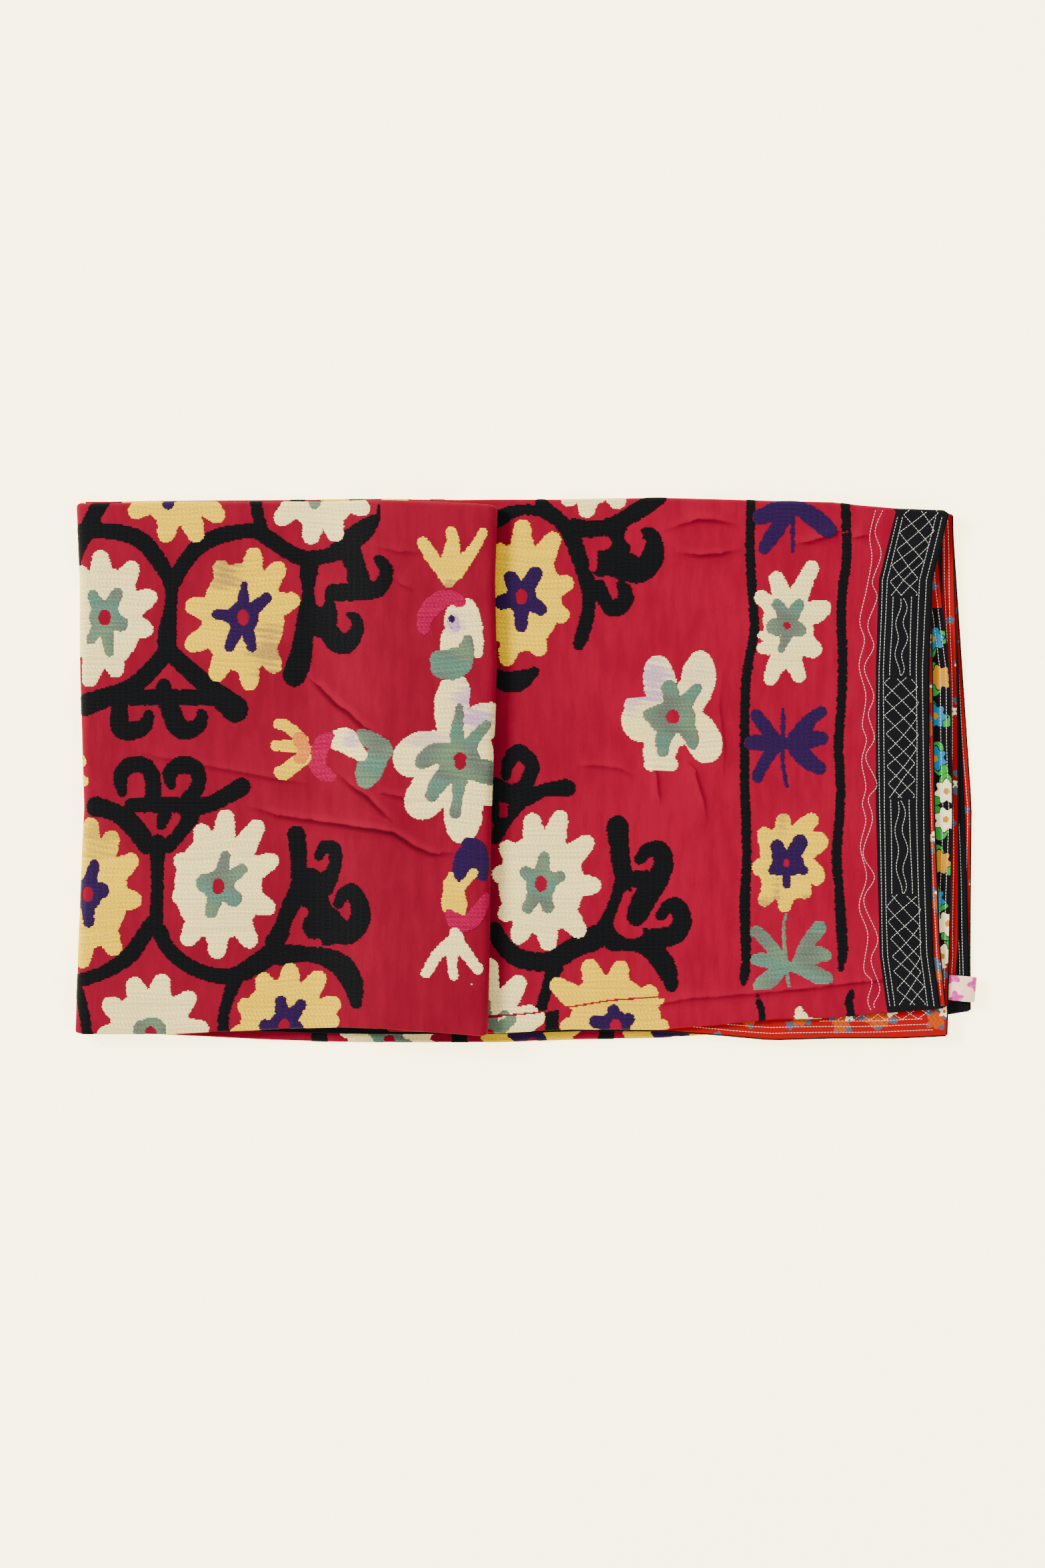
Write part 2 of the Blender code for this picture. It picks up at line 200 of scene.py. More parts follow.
def extent(name, x):
    return column(EXTENT_COLUMNS, EXTENT_ROWS, name, x)


def fold_axes(y):
    """x of the axes of the left fold and of the flap's fold."""
    return edge("left", y) + OUTER_REACH, edge("flap", y) - OUTER_REACH


def run_extents(run, x):
    """Top fold, bottom fold, inner hem and outer hem of one run at x."""
    x = np.asarray(x, float)
    if run == "turn":
        top, bottom = extent("flap_top", x) - TURN_INSET, extent("flap_bottom", x) + TURN_INSET
    else:
        top, bottom = extent(run + "_top", x), extent(run + "_bottom", x)
    outer_hem = extent("panel_hem", x) if run == "panel" else bottom + OUTER_HEM_INSET
    return np.array([top, bottom, bottom + INNER_HEM_INSET, outer_hem])


def straight(code, run, x, share=0.0, at=None):
    """Places on a straight run: its extents are looked up at x unless another place is given."""
    x, share, at = np.broadcast_arrays(np.asarray(x, float), share, x if at is None else at)
    return Places(np.full(x.shape, code), share, x, *run_extents(run, at))


def half_turn(code, before, after, x, steps):
    """Places inside a fold of the path, its extents mixed from the two runs that it joins."""
    share = np.linspace(0, 1, steps + 2)[1:-1]
    first, last = run_extents(before, x), run_extents(after, x)
    found = first[:, None] + (last - first)[:, None] * share
    return Places(np.full(steps, code), share, np.full(steps, float(x)), *found)


def joined(*parts):
    return Places(*(np.concatenate(values) for values in zip(*parts)))


def path_places(panel_step, flap_step, under_step, turns):
    """Every place along the path, from the panel's seam to the underlay's seam."""
    stretches = ((30, panel_step), (423, panel_step), (450, flap_step), (830, under_step))
    near_count, panel_count, flap_count, under_count = (max(round(a / b), 2) for a, b in stretches)
    near = np.linspace(1, 0, near_count + 1)[:-1]
    open_panel = np.linspace(PANEL_SEAM_FROM, FLAP_X - 18, panel_count)
    hidden_panel = np.linspace(FLAP_X - 30, TURN_X + FOLD_RADIUS, 4)
    flap = np.linspace(0, 1, flap_count)
    under_left = np.linspace(0, 1, 5)[:-1]
    under = np.linspace(UNDER_LEFT_TO, UNDER_SEAM_FROM, under_count)
    return joined(
        straight(PANEL, "panel", PANEL_SEAM_FROM, near, mix(PANEL_SEAM_FROM, BAND_SEAM_LOOKUP, near)),
        straight(PANEL, "panel", open_panel),
        straight(PANEL, "panel", hidden_panel),
        half_turn(TURN_FOLD, "panel", "turn", TURN_X, turns),
        straight(TURN, "turn", np.linspace(TURN_X, FLAP_X, 4), np.linspace(0, 1, 4)),
        half_turn(FLAP_FOLD, "turn", "flap", FLAP_X, turns),
        straight(FLAP, "flap", mix(FLAP_X - OUTER_REACH, LEFT_X + OUTER_REACH, flap), flap),
        half_turn(LEFT_FOLD, "flap", "under", LEFT_X, turns),
        straight(UNDER_LEFT, "under", UNDER_LEFT_TO, under_left),
        straight(UNDER, "under", under),
        straight(UNDER, "under", UNDER_SEAM_FROM, (0.33, 0.67, 1.0), BAND_SEAM_LOOKUP),
    )


def end_places(code, run, distances):
    """Places on the band along an end hem. The share is the distance from the hem in millimetres."""
    distances = np.asarray(distances, float)
    lookup = mix(HEM_LOOKUP, BAND_SEAM_LOOKUP, distances / BAND_WIDTH)
    return straight(code, run, lookup, distances)


def lines(counts, inset=0.0):
    """The lines across the cloth: for each layer or fold its name and the shares along it."""
    shares = [np.linspace(0, 1, count + 1)[min(i, 1):] for i, count in enumerate(counts.values())]
    return [(kind, share, inset) for kind, share in zip(counts, shares)]


def section(kind, share, place, offset, inset):
    """y, n and the layers' weights of lines of one kind at every place.

    A straight layer runs level between its two ends, at a whole number of layers from the run's
    middle. A fold is a half circle: y leaves the fold's axis by the radius times the cosine, and
    n by the radius times the sine. offset is measured from the middle of the cloth to its face.
    """
    top = (place.top - RUN_HALF)[:, None]
    low = (place.bottom + NOSE_RADIUS)[:, None]
    share = share[None, :]
    flat = np.zeros_like(top * share)
    straights = {
        "3": (place.inner_hem[:, None] + inset, top, -0.5 * LAYER + offset),
        "2": (top, low, 0.5 * LAYER - offset),
        "1": (low, top, 1.5 * LAYER + offset),
        "4": (top, place.outer_hem[:, None] + inset, -1.5 * LAYER - offset),
    }
    if kind in straights:
        start, stop, level = straights[kind]
        return mix(start, stop, share), flat + level, {kind: 1.0}
    axis, side, level, radius, sense, before, after = {
        "inner_top": (top, 1, 0, LAYER / 2 - offset, 1, "3", "2"),
        "bottom": (low, -1, LAYER, LAYER / 2 + offset, 1, "2", "1"),
        "outer_top": (top, 1, 0, 1.5 * LAYER + offset, -1, "1", "4"),
    }[kind]
    angle = sense * np.pi * (share - 0.5) + flat
    y, n = axis + side * radius * np.cos(angle), level + radius * np.sin(angle)
    return y, n, {before: 1 - share, after: share}


def ramp(x):
    """How far the flap has sunk at x, from the hidden turn's level to the underlay's."""
    return (FLAP_Z - PANEL_Z) * smooth((TURN_X + FOLD_RADIUS - x) / RAMP_LENGTH)


def crease(x, y):
    """The height of the highest ridge at each place, the signed distance from its line, its lead.

    A ridge falls as e to the minus squared distance in half widths. The side on the line's left,
    where the distance is positive, falls more slowly than the other. The lead is how much the
    ridge is higher than any other there.
    """
    best = np.zeros(np.broadcast(x, y).shape)
    second = best.copy()
    signed = np.full(best.shape, CREASE_SPAN)
    for half_width, places in CREASES:
        line = chart(places)
        ridge, side = np.zeros(best.shape), signed.copy()
        for (x0, y0, h0), (x1, y1, h1) in zip(line[:-1], line[1:]):
            dx, dy = x1 - x0, y1 - y0
            share = np.clip(((x - x0) * dx + (y - y0) * dy) / (dx * dx + dy * dy), 0, 1)
            away = np.hypot(x - x0 - share * dx, y - y0 - share * dy)
            left = dx * (y - y0) > dy * (x - x0)
            reach = half_width * np.where(left, 1.3, 0.7)
            rise = mix(h0, h1, share) * np.exp(-((away / reach) ** 2))
            side = np.where(rise > ridge, np.where(left, away, -away), side)
            ridge = np.maximum(rise, ridge)
        signed = np.where(ridge > best, side, signed)
        second = np.maximum(second, np.minimum(ridge, best))
        best = np.maximum(ridge, best)
    return best, signed, best - second


def ripple(x, y):
    """A sum of sine waves in the table's directions, lifted so that it is never below nought."""
    total = np.zeros(np.broadcast(x, y).shape)
    for length, direction, shift, height in RIPPLES:
        angle = math.radians(direction)
        along = x * math.cos(angle) + y * math.sin(angle)
        across = y * math.cos(angle) - x * math.sin(angle)
        bend = 0.8 * np.sin(across / length * 2.3)
        total += height * (1 + np.sin(2 * np.pi * along / length + shift + bend))
    return total * 0.6


def top_relief(code, x, y, low, top):
    """Creases and ripples of the top layer, fading to nothing at its folds and at the bands."""

    def within(value, low, high):
        return smooth((value - low) / RIPPLE_FADE) * smooth((high - value) / RIPPLE_FADE)

    left_end, flap_end = fold_axes(y)
    on_panel = (code == PANEL) * within(x, FLAP_X - 6, edge("panel_1", y) - BAND_WIDTH)
    on_flap = (code == FLAP) * within(x, left_end, flap_end)
    return (crease(x, y)[0] + ripple(x, y)) * within(y, low, top) * (on_panel + on_flap)


def grid_x(place, y, weights):
    """x of each place at height y: ends and seams lean with the cloth's own edges."""
    code, share = place.code[:, None], place.share[:, None]
    left_end, flap_end = fold_axes(y)
    panel_hem, under_hem = (
        sum(weight * edge(f"{run}_{layer}", y) for layer, weight in weights.items())
        for run in ("panel", "under")
    )
    x = place.x[:, None] + 0.0 * y
    found = {
        PANEL: mix(x, panel_hem - BAND_WIDTH - SEAM, share),
        TURN: mix(TURN_X + FOLD_RADIUS, flap_end, share),
        FLAP: mix(flap_end, left_end, share),
        UNDER_LEFT: mix(left_end, x, share),
        UNDER: mix(x, under_hem - BAND_WIDTH - SEAM, share),
        PANEL_END: panel_hem - share,
        UNDER_END: under_hem - share,
    }
    return np.select([code == name for name in found], list(found.values()), x)


def carry(code, share, x, y, n):
    """The section's point carried along the path.

    On a run it stands at x, n above or below the run's level. In a half turn it goes round the
    fold's axis, at the fold's radius plus or less n.
    """
    left_end, flap_end = fold_axes(y)
    folds = (
        (TURN_FOLD, TURN_X + FOLD_RADIUS, PANEL_Z, FOLD_RADIUS - n, -np.pi * (0.5 + share)),
        (FLAP_FOLD, flap_end, TURN_Z, FOLD_RADIUS + n, np.pi * (share - 0.5)),
        (LEFT_FOLD, left_end, UNDER_Z, FOLD_RADIUS + n, np.pi * (0.5 + share)),
    )
    z = np.select(
        [code == TURN, code == FLAP, np.isin(code, (UNDER_LEFT, UNDER, UNDER_END))],
        [TURN_Z - n, FLAP_Z - ramp(x) + n, UNDER_Z - n],
        PANEL_Z + n,
    )
    for fold, axis_x, level, radius, angle in folds:
        x = np.where(code == fold, axis_x + radius * np.cos(angle), x)
        z = np.where(code == fold, level + FOLD_RADIUS + radius * np.sin(angle), z)
    return stacked(x, y, z)


def skin(place, cross, offset, relief=None):
    """Points of one side of a sheet, as places by lines. relief adds to n on the lines of layer 1."""
    found = []
    for kind, share, inset in cross:
        y, n, weights = section(kind, share, place, offset, inset)
        x = grid_x(place, y, weights)
        if kind == "1" and relief is not None:
            low, top = (place.bottom + NOSE_RADIUS)[:, None], (place.top - RUN_HALF)[:, None]
            n = n + relief(place.code[:, None], x, y, low, top)
        found.append(carry(place.code[:, None], place.share[:, None], x, y, n))
    return np.concatenate(found, axis=1)


def grid_faces(rows, columns):
    index = np.arange(rows * columns).reshape(rows, columns)
    return np.stack([index[:-1, :-1], index[:-1, 1:], index[1:, 1:], index[1:, :-1]], axis=-1).reshape(-1, 4)


def tube_faces(stations, sides):
    """Quads between rings of points that follow each other."""
    i, k = np.meshgrid(np.arange(stations - 1), np.arange(sides), indexing="ij")
    a, b = i * sides + k, i * sides + (k + 1) % sides
    return np.stack([a, b, b + sides, a + sides], axis=-1).reshape(-1, 4)


def outward(points, faces):
    """The faces, turned over if the volume that they close is below nought.

    Six volumes are the sum over faces of a corner dotted with the cross products of its fan.
    """
    a, b, c, d = (points[faces[:, k]] for k in range(4))
    volume = np.einsum("ij,ij->i", a, np.cross(b, c)) + np.einsum("ij,ij->i", a, np.cross(c, d))
    return faces[:, ::-1] if volume.sum() < 0 else faces


def closed_ply(near, far):
    """Points and faces of two grids of the same size, joined at their borders."""
    rows, columns = near.shape[:2]
    points = np.concatenate([near.reshape(-1, 3), far.reshape(-1, 3)])
    face, back = grid_faces(rows, columns), rows * columns
    index = np.arange(back).reshape(rows, columns)
    border = np.concatenate([index[0, :-1], index[:-1, -1], index[-1, :0:-1], index[:0:-1, 0]])
    following = np.roll(border, -1)
    rim = np.stack([border, border + back, following + back, following], axis=-1)
    return points, outward(points, np.concatenate([face, face[:, ::-1] + back, rim]))


def make_mesh(name, points, *faces, uv=None, colours=None, colours_name="crease", sharp=None):
    """A mesh from arrays: points in millimetres, quads or triangles, uv and colours per point."""
    mesh = bpy.data.meshes.new(name)
    points = (np.asarray(points, float).reshape(-1, 3) - MIDDLE) * MM
    loops = np.concatenate([part.ravel() for part in faces]).astype(np.int32)
    sizes = np.concatenate([np.full(len(part), part.shape[1]) for part in faces])
    mesh.vertices.add(len(points))
    mesh.vertices.foreach_set("co", points.astype(np.float32).ravel())
    mesh.loops.add(len(loops))
    mesh.loops.foreach_set("vertex_index", loops)
    mesh.polygons.add(len(sizes))
    mesh.polygons.foreach_set("loop_start", (np.cumsum(sizes) - sizes).astype(np.int32))
    mesh.update(calc_edges=True)
    mesh.shade_smooth()
    if uv is not None:
        layer = mesh.uv_layers.new(name="cloth")
        layer.data.foreach_set("uv", np.asarray(uv, np.float32)[loops].ravel())
    if colours is not None:
        layer = mesh.color_attributes.new(colours_name, "FLOAT_COLOR", "POINT")
        rgba = np.ones((len(points), 4), np.float32)
        rgba[:, :3] = colours
        layer.data.foreach_set("color", rgba.ravel())
    if sharp is not None:
        mesh.set_sharp_from_angle(angle=math.radians(sharp))
    mesh.validate()
    return mesh


def add_piece(name, mesh, material, replaces=()):
    made = bpy.data.objects.new(name, mesh)
    made.data.materials.append(material)
    bpy.context.scene.collection.objects.link(made)
    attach(made, "root")
    if replaces:
        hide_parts(*replaces)
    return made


def step_lengths(grid, axis):
    """The middle length of each step along one axis of a grid of points, in metres."""
    return np.median(np.linalg.norm(np.diff(grid, axis=axis), axis=2), axis=1 - axis) * MM


def add_cloth(name, node, place, cross, offsets, material, relief=None):
    """A closed ply between two offsets. uv is the flat cloth in metres: along the path, then across."""
    near, far = (skin(place, cross, offset, relief) for offset in offsets)
    points, faces = closed_ply(near, far)
    along, across = (np.concatenate([[0], np.cumsum(step_lengths(near, axis))]) for axis in (0, 1))
    uv = np.stack(np.meshgrid(along, across, indexing="ij"), axis=-1).reshape(-1, 2)
    tint = None
    # The crease attribute tells the red cotton where to paint the shade and highlight along each crease
    if relief is top_relief:
        layer = np.concatenate([np.full(len(share), kind == "1") for kind, share, _ in cross])
        on_top = layer[None, :] & np.isin(place.code, (PANEL, FLAP))[:, None]
        height, signed, lead = crease(near[..., 0], near[..., 1])
        tint = stacked(0.5 + 0.5 * signed / CREASE_SPAN, np.where(on_top, lead / 4, 0), 0.0).reshape(-1, 3)
        tint = np.concatenate([tint, tint])
    mesh = make_mesh(name, points, faces, uv=np.concatenate([uv, uv]), colours=tint, sharp=60)
    made = add_piece(name, mesh, material, (node,))
    print(name, "flat", round(along[-1], 3), round(across[-1], 3), "triangles", 2 * len(faces))


def side_skin(place, layer, distances, offset):
    """Points of a band on the inner or outer hem's layer, at distances from the hem."""
    hem, level = {
        "3": (place.inner_hem, -0.5 * LAYER + offset),
        "4": (place.outer_hem, -1.5 * LAYER - offset),
    }[layer]
    y = hem[:, None] + distances
    x = grid_x(place, y, {layer: 1.0})
    return carry(place.code[:, None], place.share[:, None], x, y, level + 0 * y)


def add_side_band(name, node, layer, material):
    place, distances = path_places(*COARSE_PATH), np.linspace(0, BAND_WIDTH, 8)
    near, far = (side_skin(place, layer, distances, offset) for offset in FACE)
    mesh = make_mesh(name, *closed_ply(near, far), sharp=60)
    made = add_piece(name, mesh, material, (node,))


# Shader maths


class Socket:
    """A shader value on which sums work: each operator adds its Math node."""

    def __init__(self, paint, link):
        self.paint, self.link = paint, link

    def math(self, operation, *others):
        return self.paint.node("ShaderNodeMath", {"operation": operation}, self, *others)

    def swapped(self, operation, other):
        return self.paint.node("ShaderNodeMath", {"operation": operation}, other, self)

    __add__ = __radd__ = lambda self, other: self.math("ADD", other)
    __mul__ = __rmul__ = lambda self, other: self.math("MULTIPLY", other)
    __sub__ = lambda self, other: self.math("SUBTRACT", other)
    __rsub__ = lambda self, other: self.swapped("SUBTRACT", other)
    __truediv__ = lambda self, other: self.math("DIVIDE", other)
    __rtruediv__ = lambda self, other: self.swapped("DIVIDE", other)
    __lt__ = lambda self, other: self.math("LESS_THAN", other)
    __gt__ = lambda self, other: self.math("GREATER_THAN", other)
    __abs__ = lambda self: self.math("ABSOLUTE")

    def sine(self):
        return self.math("SINE")

    def whole(self):
        return self.math("FLOOR")

    def part(self):
        return self.math("FRACT")

    def limited(self):
        return self.math("MAXIMUM", 0.0).math("MINIMUM", 1.0)

    def band(self, low, high):
        """A smooth step from 0 at low to 1 at high."""
        settings = {"interpolation_type": "SMOOTHSTEP"}
        return self.paint.node("ShaderNodeMapRange", settings, self, low, high, 0.0, 1.0)


class Paint:
    """A material whose nodes are added one call at a time."""

    def __init__(self, name, roughness=0.8, **constants):
        self.material = bpy.data.materials.new(name)
        self.material.use_nodes = True
        self.tree = self.material.node_tree
        self.shader = self.tree.nodes["Principled BSDF"]
        self.shader.inputs["Roughness"].default_value = roughness
        self.shader.inputs["Metallic"].default_value = 0.0
        self.shader.inputs["Specular IOR Level"].default_value = 0.08
        for key, value in constants.items():
            self.shader.inputs[key.replace("_", " ")].default_value = value

    def node(self, kind, settings=None, *values, out=0, **named):
        """Adds a node of a type, sets it, then fills its sockets with values or links."""
        made = self.tree.nodes.new(kind)
        for key, value in (settings or {}).items():
            setattr(made, key, value)
        pairs = [(made.inputs[i], value) for i, value in enumerate(values) if value is not None]
        pairs += [(made.inputs[key.replace("_", " ")], value) for key, value in named.items()]
        for socket, value in pairs:
            if isinstance(value, Socket):
                self.tree.links.new(value.link, socket)
            else:
                socket.default_value = value
        if isinstance(out, tuple):
            return [Socket(self, made.outputs[key]) for key in out]
        return Socket(self, made.outputs[out])

    def mixed(self, share, first, second, blend="MIX"):
        """Two colours mixed by a share. They are the node's seventh and eighth sockets."""
        colours = [value if isinstance(value, Socket) else (*value, 1.0) for value in (first, second)]
        settings = {"data_type": "RGBA", "blend_type": blend}
        return self.node("ShaderNodeMix", settings, share, *[None] * 5, *colours, out=2)

    def steps(self, value, stops):
        """The colour of the last stop that the value has reached."""
        made = self.node("ShaderNodeValToRGB", None, value)
        ramp = made.link.node.color_ramp
        ramp.interpolation = "CONSTANT"
        while len(ramp.elements) < len(stops):
            ramp.elements.new(1.0)
        for element, (position, colour) in zip(ramp.elements, stops):
            element.position, element.color = position, (*colour, 1.0)
        return made

    def place(self):
        return self.node("ShaderNodeTexCoord", out="Object")

    def uv(self):
        return self.node("ShaderNodeUVMap", {"uv_map": "cloth"})

    def attribute(self, name):
        return self.node("ShaderNodeAttribute", {"attribute_name": name})

    def axes(self, vector):
        return self.node("ShaderNodeSeparateXYZ", None, vector, out=(0, 1, 2))

    def vector(self, x, y):
        return self.node("ShaderNodeCombineXYZ", None, x, y)

    def chance(self, number):
        return self.node("ShaderNodeTexWhiteNoise", {"noise_dimensions": "1D"}, W=number)

    def noise(self, vector, scale, detail=3.0, roughness=0.55):
        named = {"Vector": vector, "Scale": scale, "Detail": detail, "Roughness": roughness}
        return self.node("ShaderNodeTexNoise", None, **named)

    def bump(self, height, distance, strength=1.0):
        return self.node("ShaderNodeBump", None, Height=height, Distance=distance, Strength=strength)

    def feed(self, **links):
        for key, value in links.items():
            self.tree.links.new(value.link, self.shader.inputs[key.replace("_", " ")])
        return self.material


RED_SHADES = ((0.151, 0.0028, 0.0127), (0.192, 0.0012, 0.0136))
RED_COTTONS = ((0.184, 0.0034, 0.0155), (0.231, 0.0014, 0.0167))
BLACK_COTTON = (0.0036, 0.0038, 0.0046)
LINING_RED = (0.295, 0.0008, 0.0032)

YARN_NAMES = ("", "black", "cream", "yellow", "purple", "green", "pink", "lilac", "peach")
YARN_COLOURS = {
    "black": (0.0030, 0.0031, 0.0037),
    "cream": (1.0, 0.80, 0.31),
    "yellow": (0.87, 0.54, 0.001),
    "purple": (0.0165, 0.0008, 0.0420),
    "green": (0.128, 0.195, 0.112),
    "pink": (0.35, 0.0002, 0.046),
    "lilac": (0.52, 0.30, 0.50),
    "peach": (0.74, 0.21, 0.030),
}
# Roughness and specular level, where they aren't the usual ones
YARN_SHINE = {"purple": (0.6, 0.14)}
GREEN_GREY = (0.104, 0.116, 0.092)
GREEN_TEAL = (0.092, 0.182, 0.128)
PRINT_CREAM = (0.95, 0.80, 0.42)
PRINT_ORANGE = (0.42, 0.058, 0.0015)
PRINT_RUST = (0.3475, 0.0217, 0.0015)
PRINT_SLATE = (0.053, 0.074, 0.110)
PRINT_SKY = (0.004, 0.158, 0.30)
PRINT_LEAF = (0.016, 0.265, 0.028)
PRINT_YELLOW = (0.48, 0.20, 0.004)
PRINT_PINK = (0.52, 0.006, 0.019)
# The lining's black patch on the flat cloth, in metres
BLACK_PATCH_ALONG = 0.30
BLACK_PATCH_FROM = 1.855
BLACK_PATCH_TO = 2.25
LOOP_PINK = (0.52, 0.030, 0.24)
LOOP_CREAM = (0.95, 0.60, 0.40)


def red_cotton():
    """Plain red cotton, lighter towards the right on the panel: a fine weave, soft puckers, and painted
    lines of shade and highlight along the creases.

    The crease attribute holds the signed distance from a crease's line and its strength. A painted
    highlight lightens the cloth just on the line's left, its lit side, and a painted shade darkens a
    valley on its right, its shadow side.
    """
    paint = Paint("ground_cotton", roughness=0.85, Specular_IOR_Level=0.04)
    here = paint.place()
    along, across = paint.axes(here)[:2]
    cloudy = paint.noise(here, 9.0, 4.0)
    streaks = paint.noise(paint.vector(along * 90.0, across * 22.0), 1.0, 3.0, 0.5)
    fine = paint.noise(here, 900.0, 2.0)
    # The red is lighter towards the right, on the panel: a smooth step along x
    faded = along.band(-0.08, 0.16)
    shade, full = (paint.mixed(faded, *pair) for pair in (RED_SHADES, RED_COTTONS))
    tone = paint.mixed((cloudy * 0.5 + streaks * 0.5).band(0.35, 0.65), shade, full)
    signed, strength = paint.axes(paint.attribute("crease"))[:2]
    signed = (signed - 0.5) * (2 * CREASE_SPAN) + (streaks - 0.5) * 3.0
    # Painted shade: a dark valley just right of each crease's line, on its shadow side
    valley = signed.band(-8.5, -1.6) * (1.0 - signed.band(-1.6, 1.2))
    # Painted highlight: a lighter band just left of the line, on its lit side
    painted_crease_highlight = signed.band(-1.0, 3.0) * (1.0 - signed.band(3.0, 12.0))
    tone = paint.mixed((valley * strength * 0.85).limited(), tone, (0.045, 0.0008, 0.0038))
    tone = paint.mixed((painted_crease_highlight * strength * 0.28).limited(), tone, (0.30, 0.006, 0.028))
    warp, weft = paint.axes(paint.uv())[:2]
    weave = (warp * 9000.0).sine() * (weft * 9000.0).sine()
    height = streaks * 0.8 + cloudy * 0.6 + fine * 0.10 + weave * 0.03 - valley * strength * 1.2
    return paint.feed(Base_Color=tone, Normal=paint.bump(height, 0.0012, 0.9))


def black_cotton():
    paint = Paint("band_cotton", roughness=0.85)
    here = paint.place()
    cloudy = paint.noise(here, 30.0, 4.0)
    fine = paint.noise(here, 1400.0, 2.0)
    tone = paint.mixed(cloudy.band(0.3, 0.7), (0.0028, 0.0030, 0.0037), BLACK_COTTON)
    tone = paint.mixed(fine.band(0.62, 0.75) * 0.12, tone, (0.02, 0.02, 0.02))
    return paint.feed(Base_Color=tone, Normal=paint.bump(cloudy * 0.5 + fine * 0.25, 0.0006))


def cells(paint, uv, scale, randomness):
    """Scattered cells: x and y from the cell's own middle, in cell widths, and three chances."""
    named = {"Vector": uv, "Scale": scale, "Randomness": randomness}
    kind, settings = "ShaderNodeTexVoronoi", {"voronoi_dimensions": "2D"}
    centre, chance = paint.node(kind, settings, out=("Position", "Color"), **named)
    away = paint.node("ShaderNodeVectorMath", {"operation": "SUBTRACT"}, uv, centre)
    x, y = paint.axes(away)[:2]
    return (x * scale, y * scale), paint.axes(chance)


def blossom(local, middle, radius, petals, turn, swing):
    """Inside a blossom: nearer than a radius that swings with a cosine of the angle round it."""
    x, y = local[0] - middle[0], local[1] - middle[1]
    angle = y.math("ARCTAN2", x)
    return (x * x + y * y).math("SQRT") < (angle * petals + turn).math("COSINE") * (radius * swing) + radius


def lining_print():
    """Printed cotton in two patches: red with small posies, and black with bolder flowers."""
    paint = Paint("lining_cotton", roughness=0.85, Specular_IOR_Level=0.04)
    uv = paint.uv()
    along, across = paint.axes(uv)[:2]
    local, chance = cells(paint, paint.vector(along, across - 0.012), 21.0, 0.5)
    turn = chance[0] * 6.28
    shown = chance[2] > 0.1
    veins = (local[0] * 60.0 + (local[1] * 40.0).sine() * 2.0).sine() > 0.72
    red = LINING_RED
    for middle, radius, petals, swing, colour, streaked in (
        ((0.02, -0.02), 0.24, 5.0, 0.35, PRINT_SLATE, False),
        ((0.05, 0.04), 0.19, 6.0, 0.14, PRINT_ORANGE, True),
        ((-0.14, -0.15), 0.11, 5.0, 0.28, PRINT_CREAM, False),
        ((-0.14, -0.15), 0.035, 5.0, 0.1, PRINT_ORANGE, False),
    ):
        flower = blossom(local, middle, radius, petals, turn, swing) * shown
        red = paint.mixed(flower, red, colour)
        if streaked:
            red = paint.mixed(veins * flower, red, PRINT_RUST)
    spot, luck = cells(paint, uv, 60.0, 0.9)
    small = blossom(spot, (0.0, 0.0), 0.27, 5.0, luck[0] * 6.28, 0.25) * (luck[1] > 0.84)
    red = paint.mixed(small, red, PRINT_SLATE)

    local, chance = cells(paint, uv, 25.0, 0.6)
    turn = chance[1] * 6.28
    palette = ((0.0, PRINT_CREAM), (0.34, PRINT_YELLOW), (0.62, PRINT_SKY), (0.82, PRINT_PINK))
    dark = BLACK_COTTON
    for middle, radius, petals, swing, colour in (
        ((0.03, 0.05), 0.36, 3.0, 0.5, PRINT_LEAF),
        ((0.0, 0.0), 0.33, 7.0, 0.16, BLACK_COTTON),
        ((0.0, 0.0), 0.30, 7.0, 0.16, paint.steps(chance[0], palette)),
        ((0.0, 0.0), 0.09, 5.0, 0.1, PRINT_YELLOW),
    ):
        dark = paint.mixed(blossom(local, middle, radius, petals, turn, swing), dark, colour)
    patch = (along < BLACK_PATCH_ALONG) * (across > BLACK_PATCH_FROM) * (across < BLACK_PATCH_TO)
    fine = paint.noise(paint.place(), 1200.0, 2.0)
    soft = paint.noise(paint.place(), 60.0, 3.0)
    tone = paint.mixed(patch, red, dark)
    tone = paint.mixed(fine * 0.18, tone, (0.02, 0.002, 0.002))
    return paint.feed(Base_Color=tone, Normal=paint.bump(fine * 0.2 + soft, 0.0008))


def loop_print():
    """Cream cotton with pink blossoms, a little faded."""
    paint = Paint("loop_cotton", roughness=0.85)
    uv = paint.uv()
    local, chance = cells(paint, uv, 52.0, 0.7)
    flower = blossom(local, (0.0, 0.0), 0.40, 4.0, chance[0] * 6.28, 0.28) * (chance[1] > 0.15)
    tone = paint.mixed(flower, LOOP_CREAM, LOOP_PINK)
    faded = paint.noise(paint.place(), 240.0, 3.0)
    tone = paint.mixed(faded.band(0.5, 0.8) * 0.5, tone, (0.85, 0.50, 0.40))
    fine = paint.noise(paint.place(), 900.0, 2.0)
    return paint.feed(Base_Color=tone, Normal=paint.bump(fine, 0.0004))


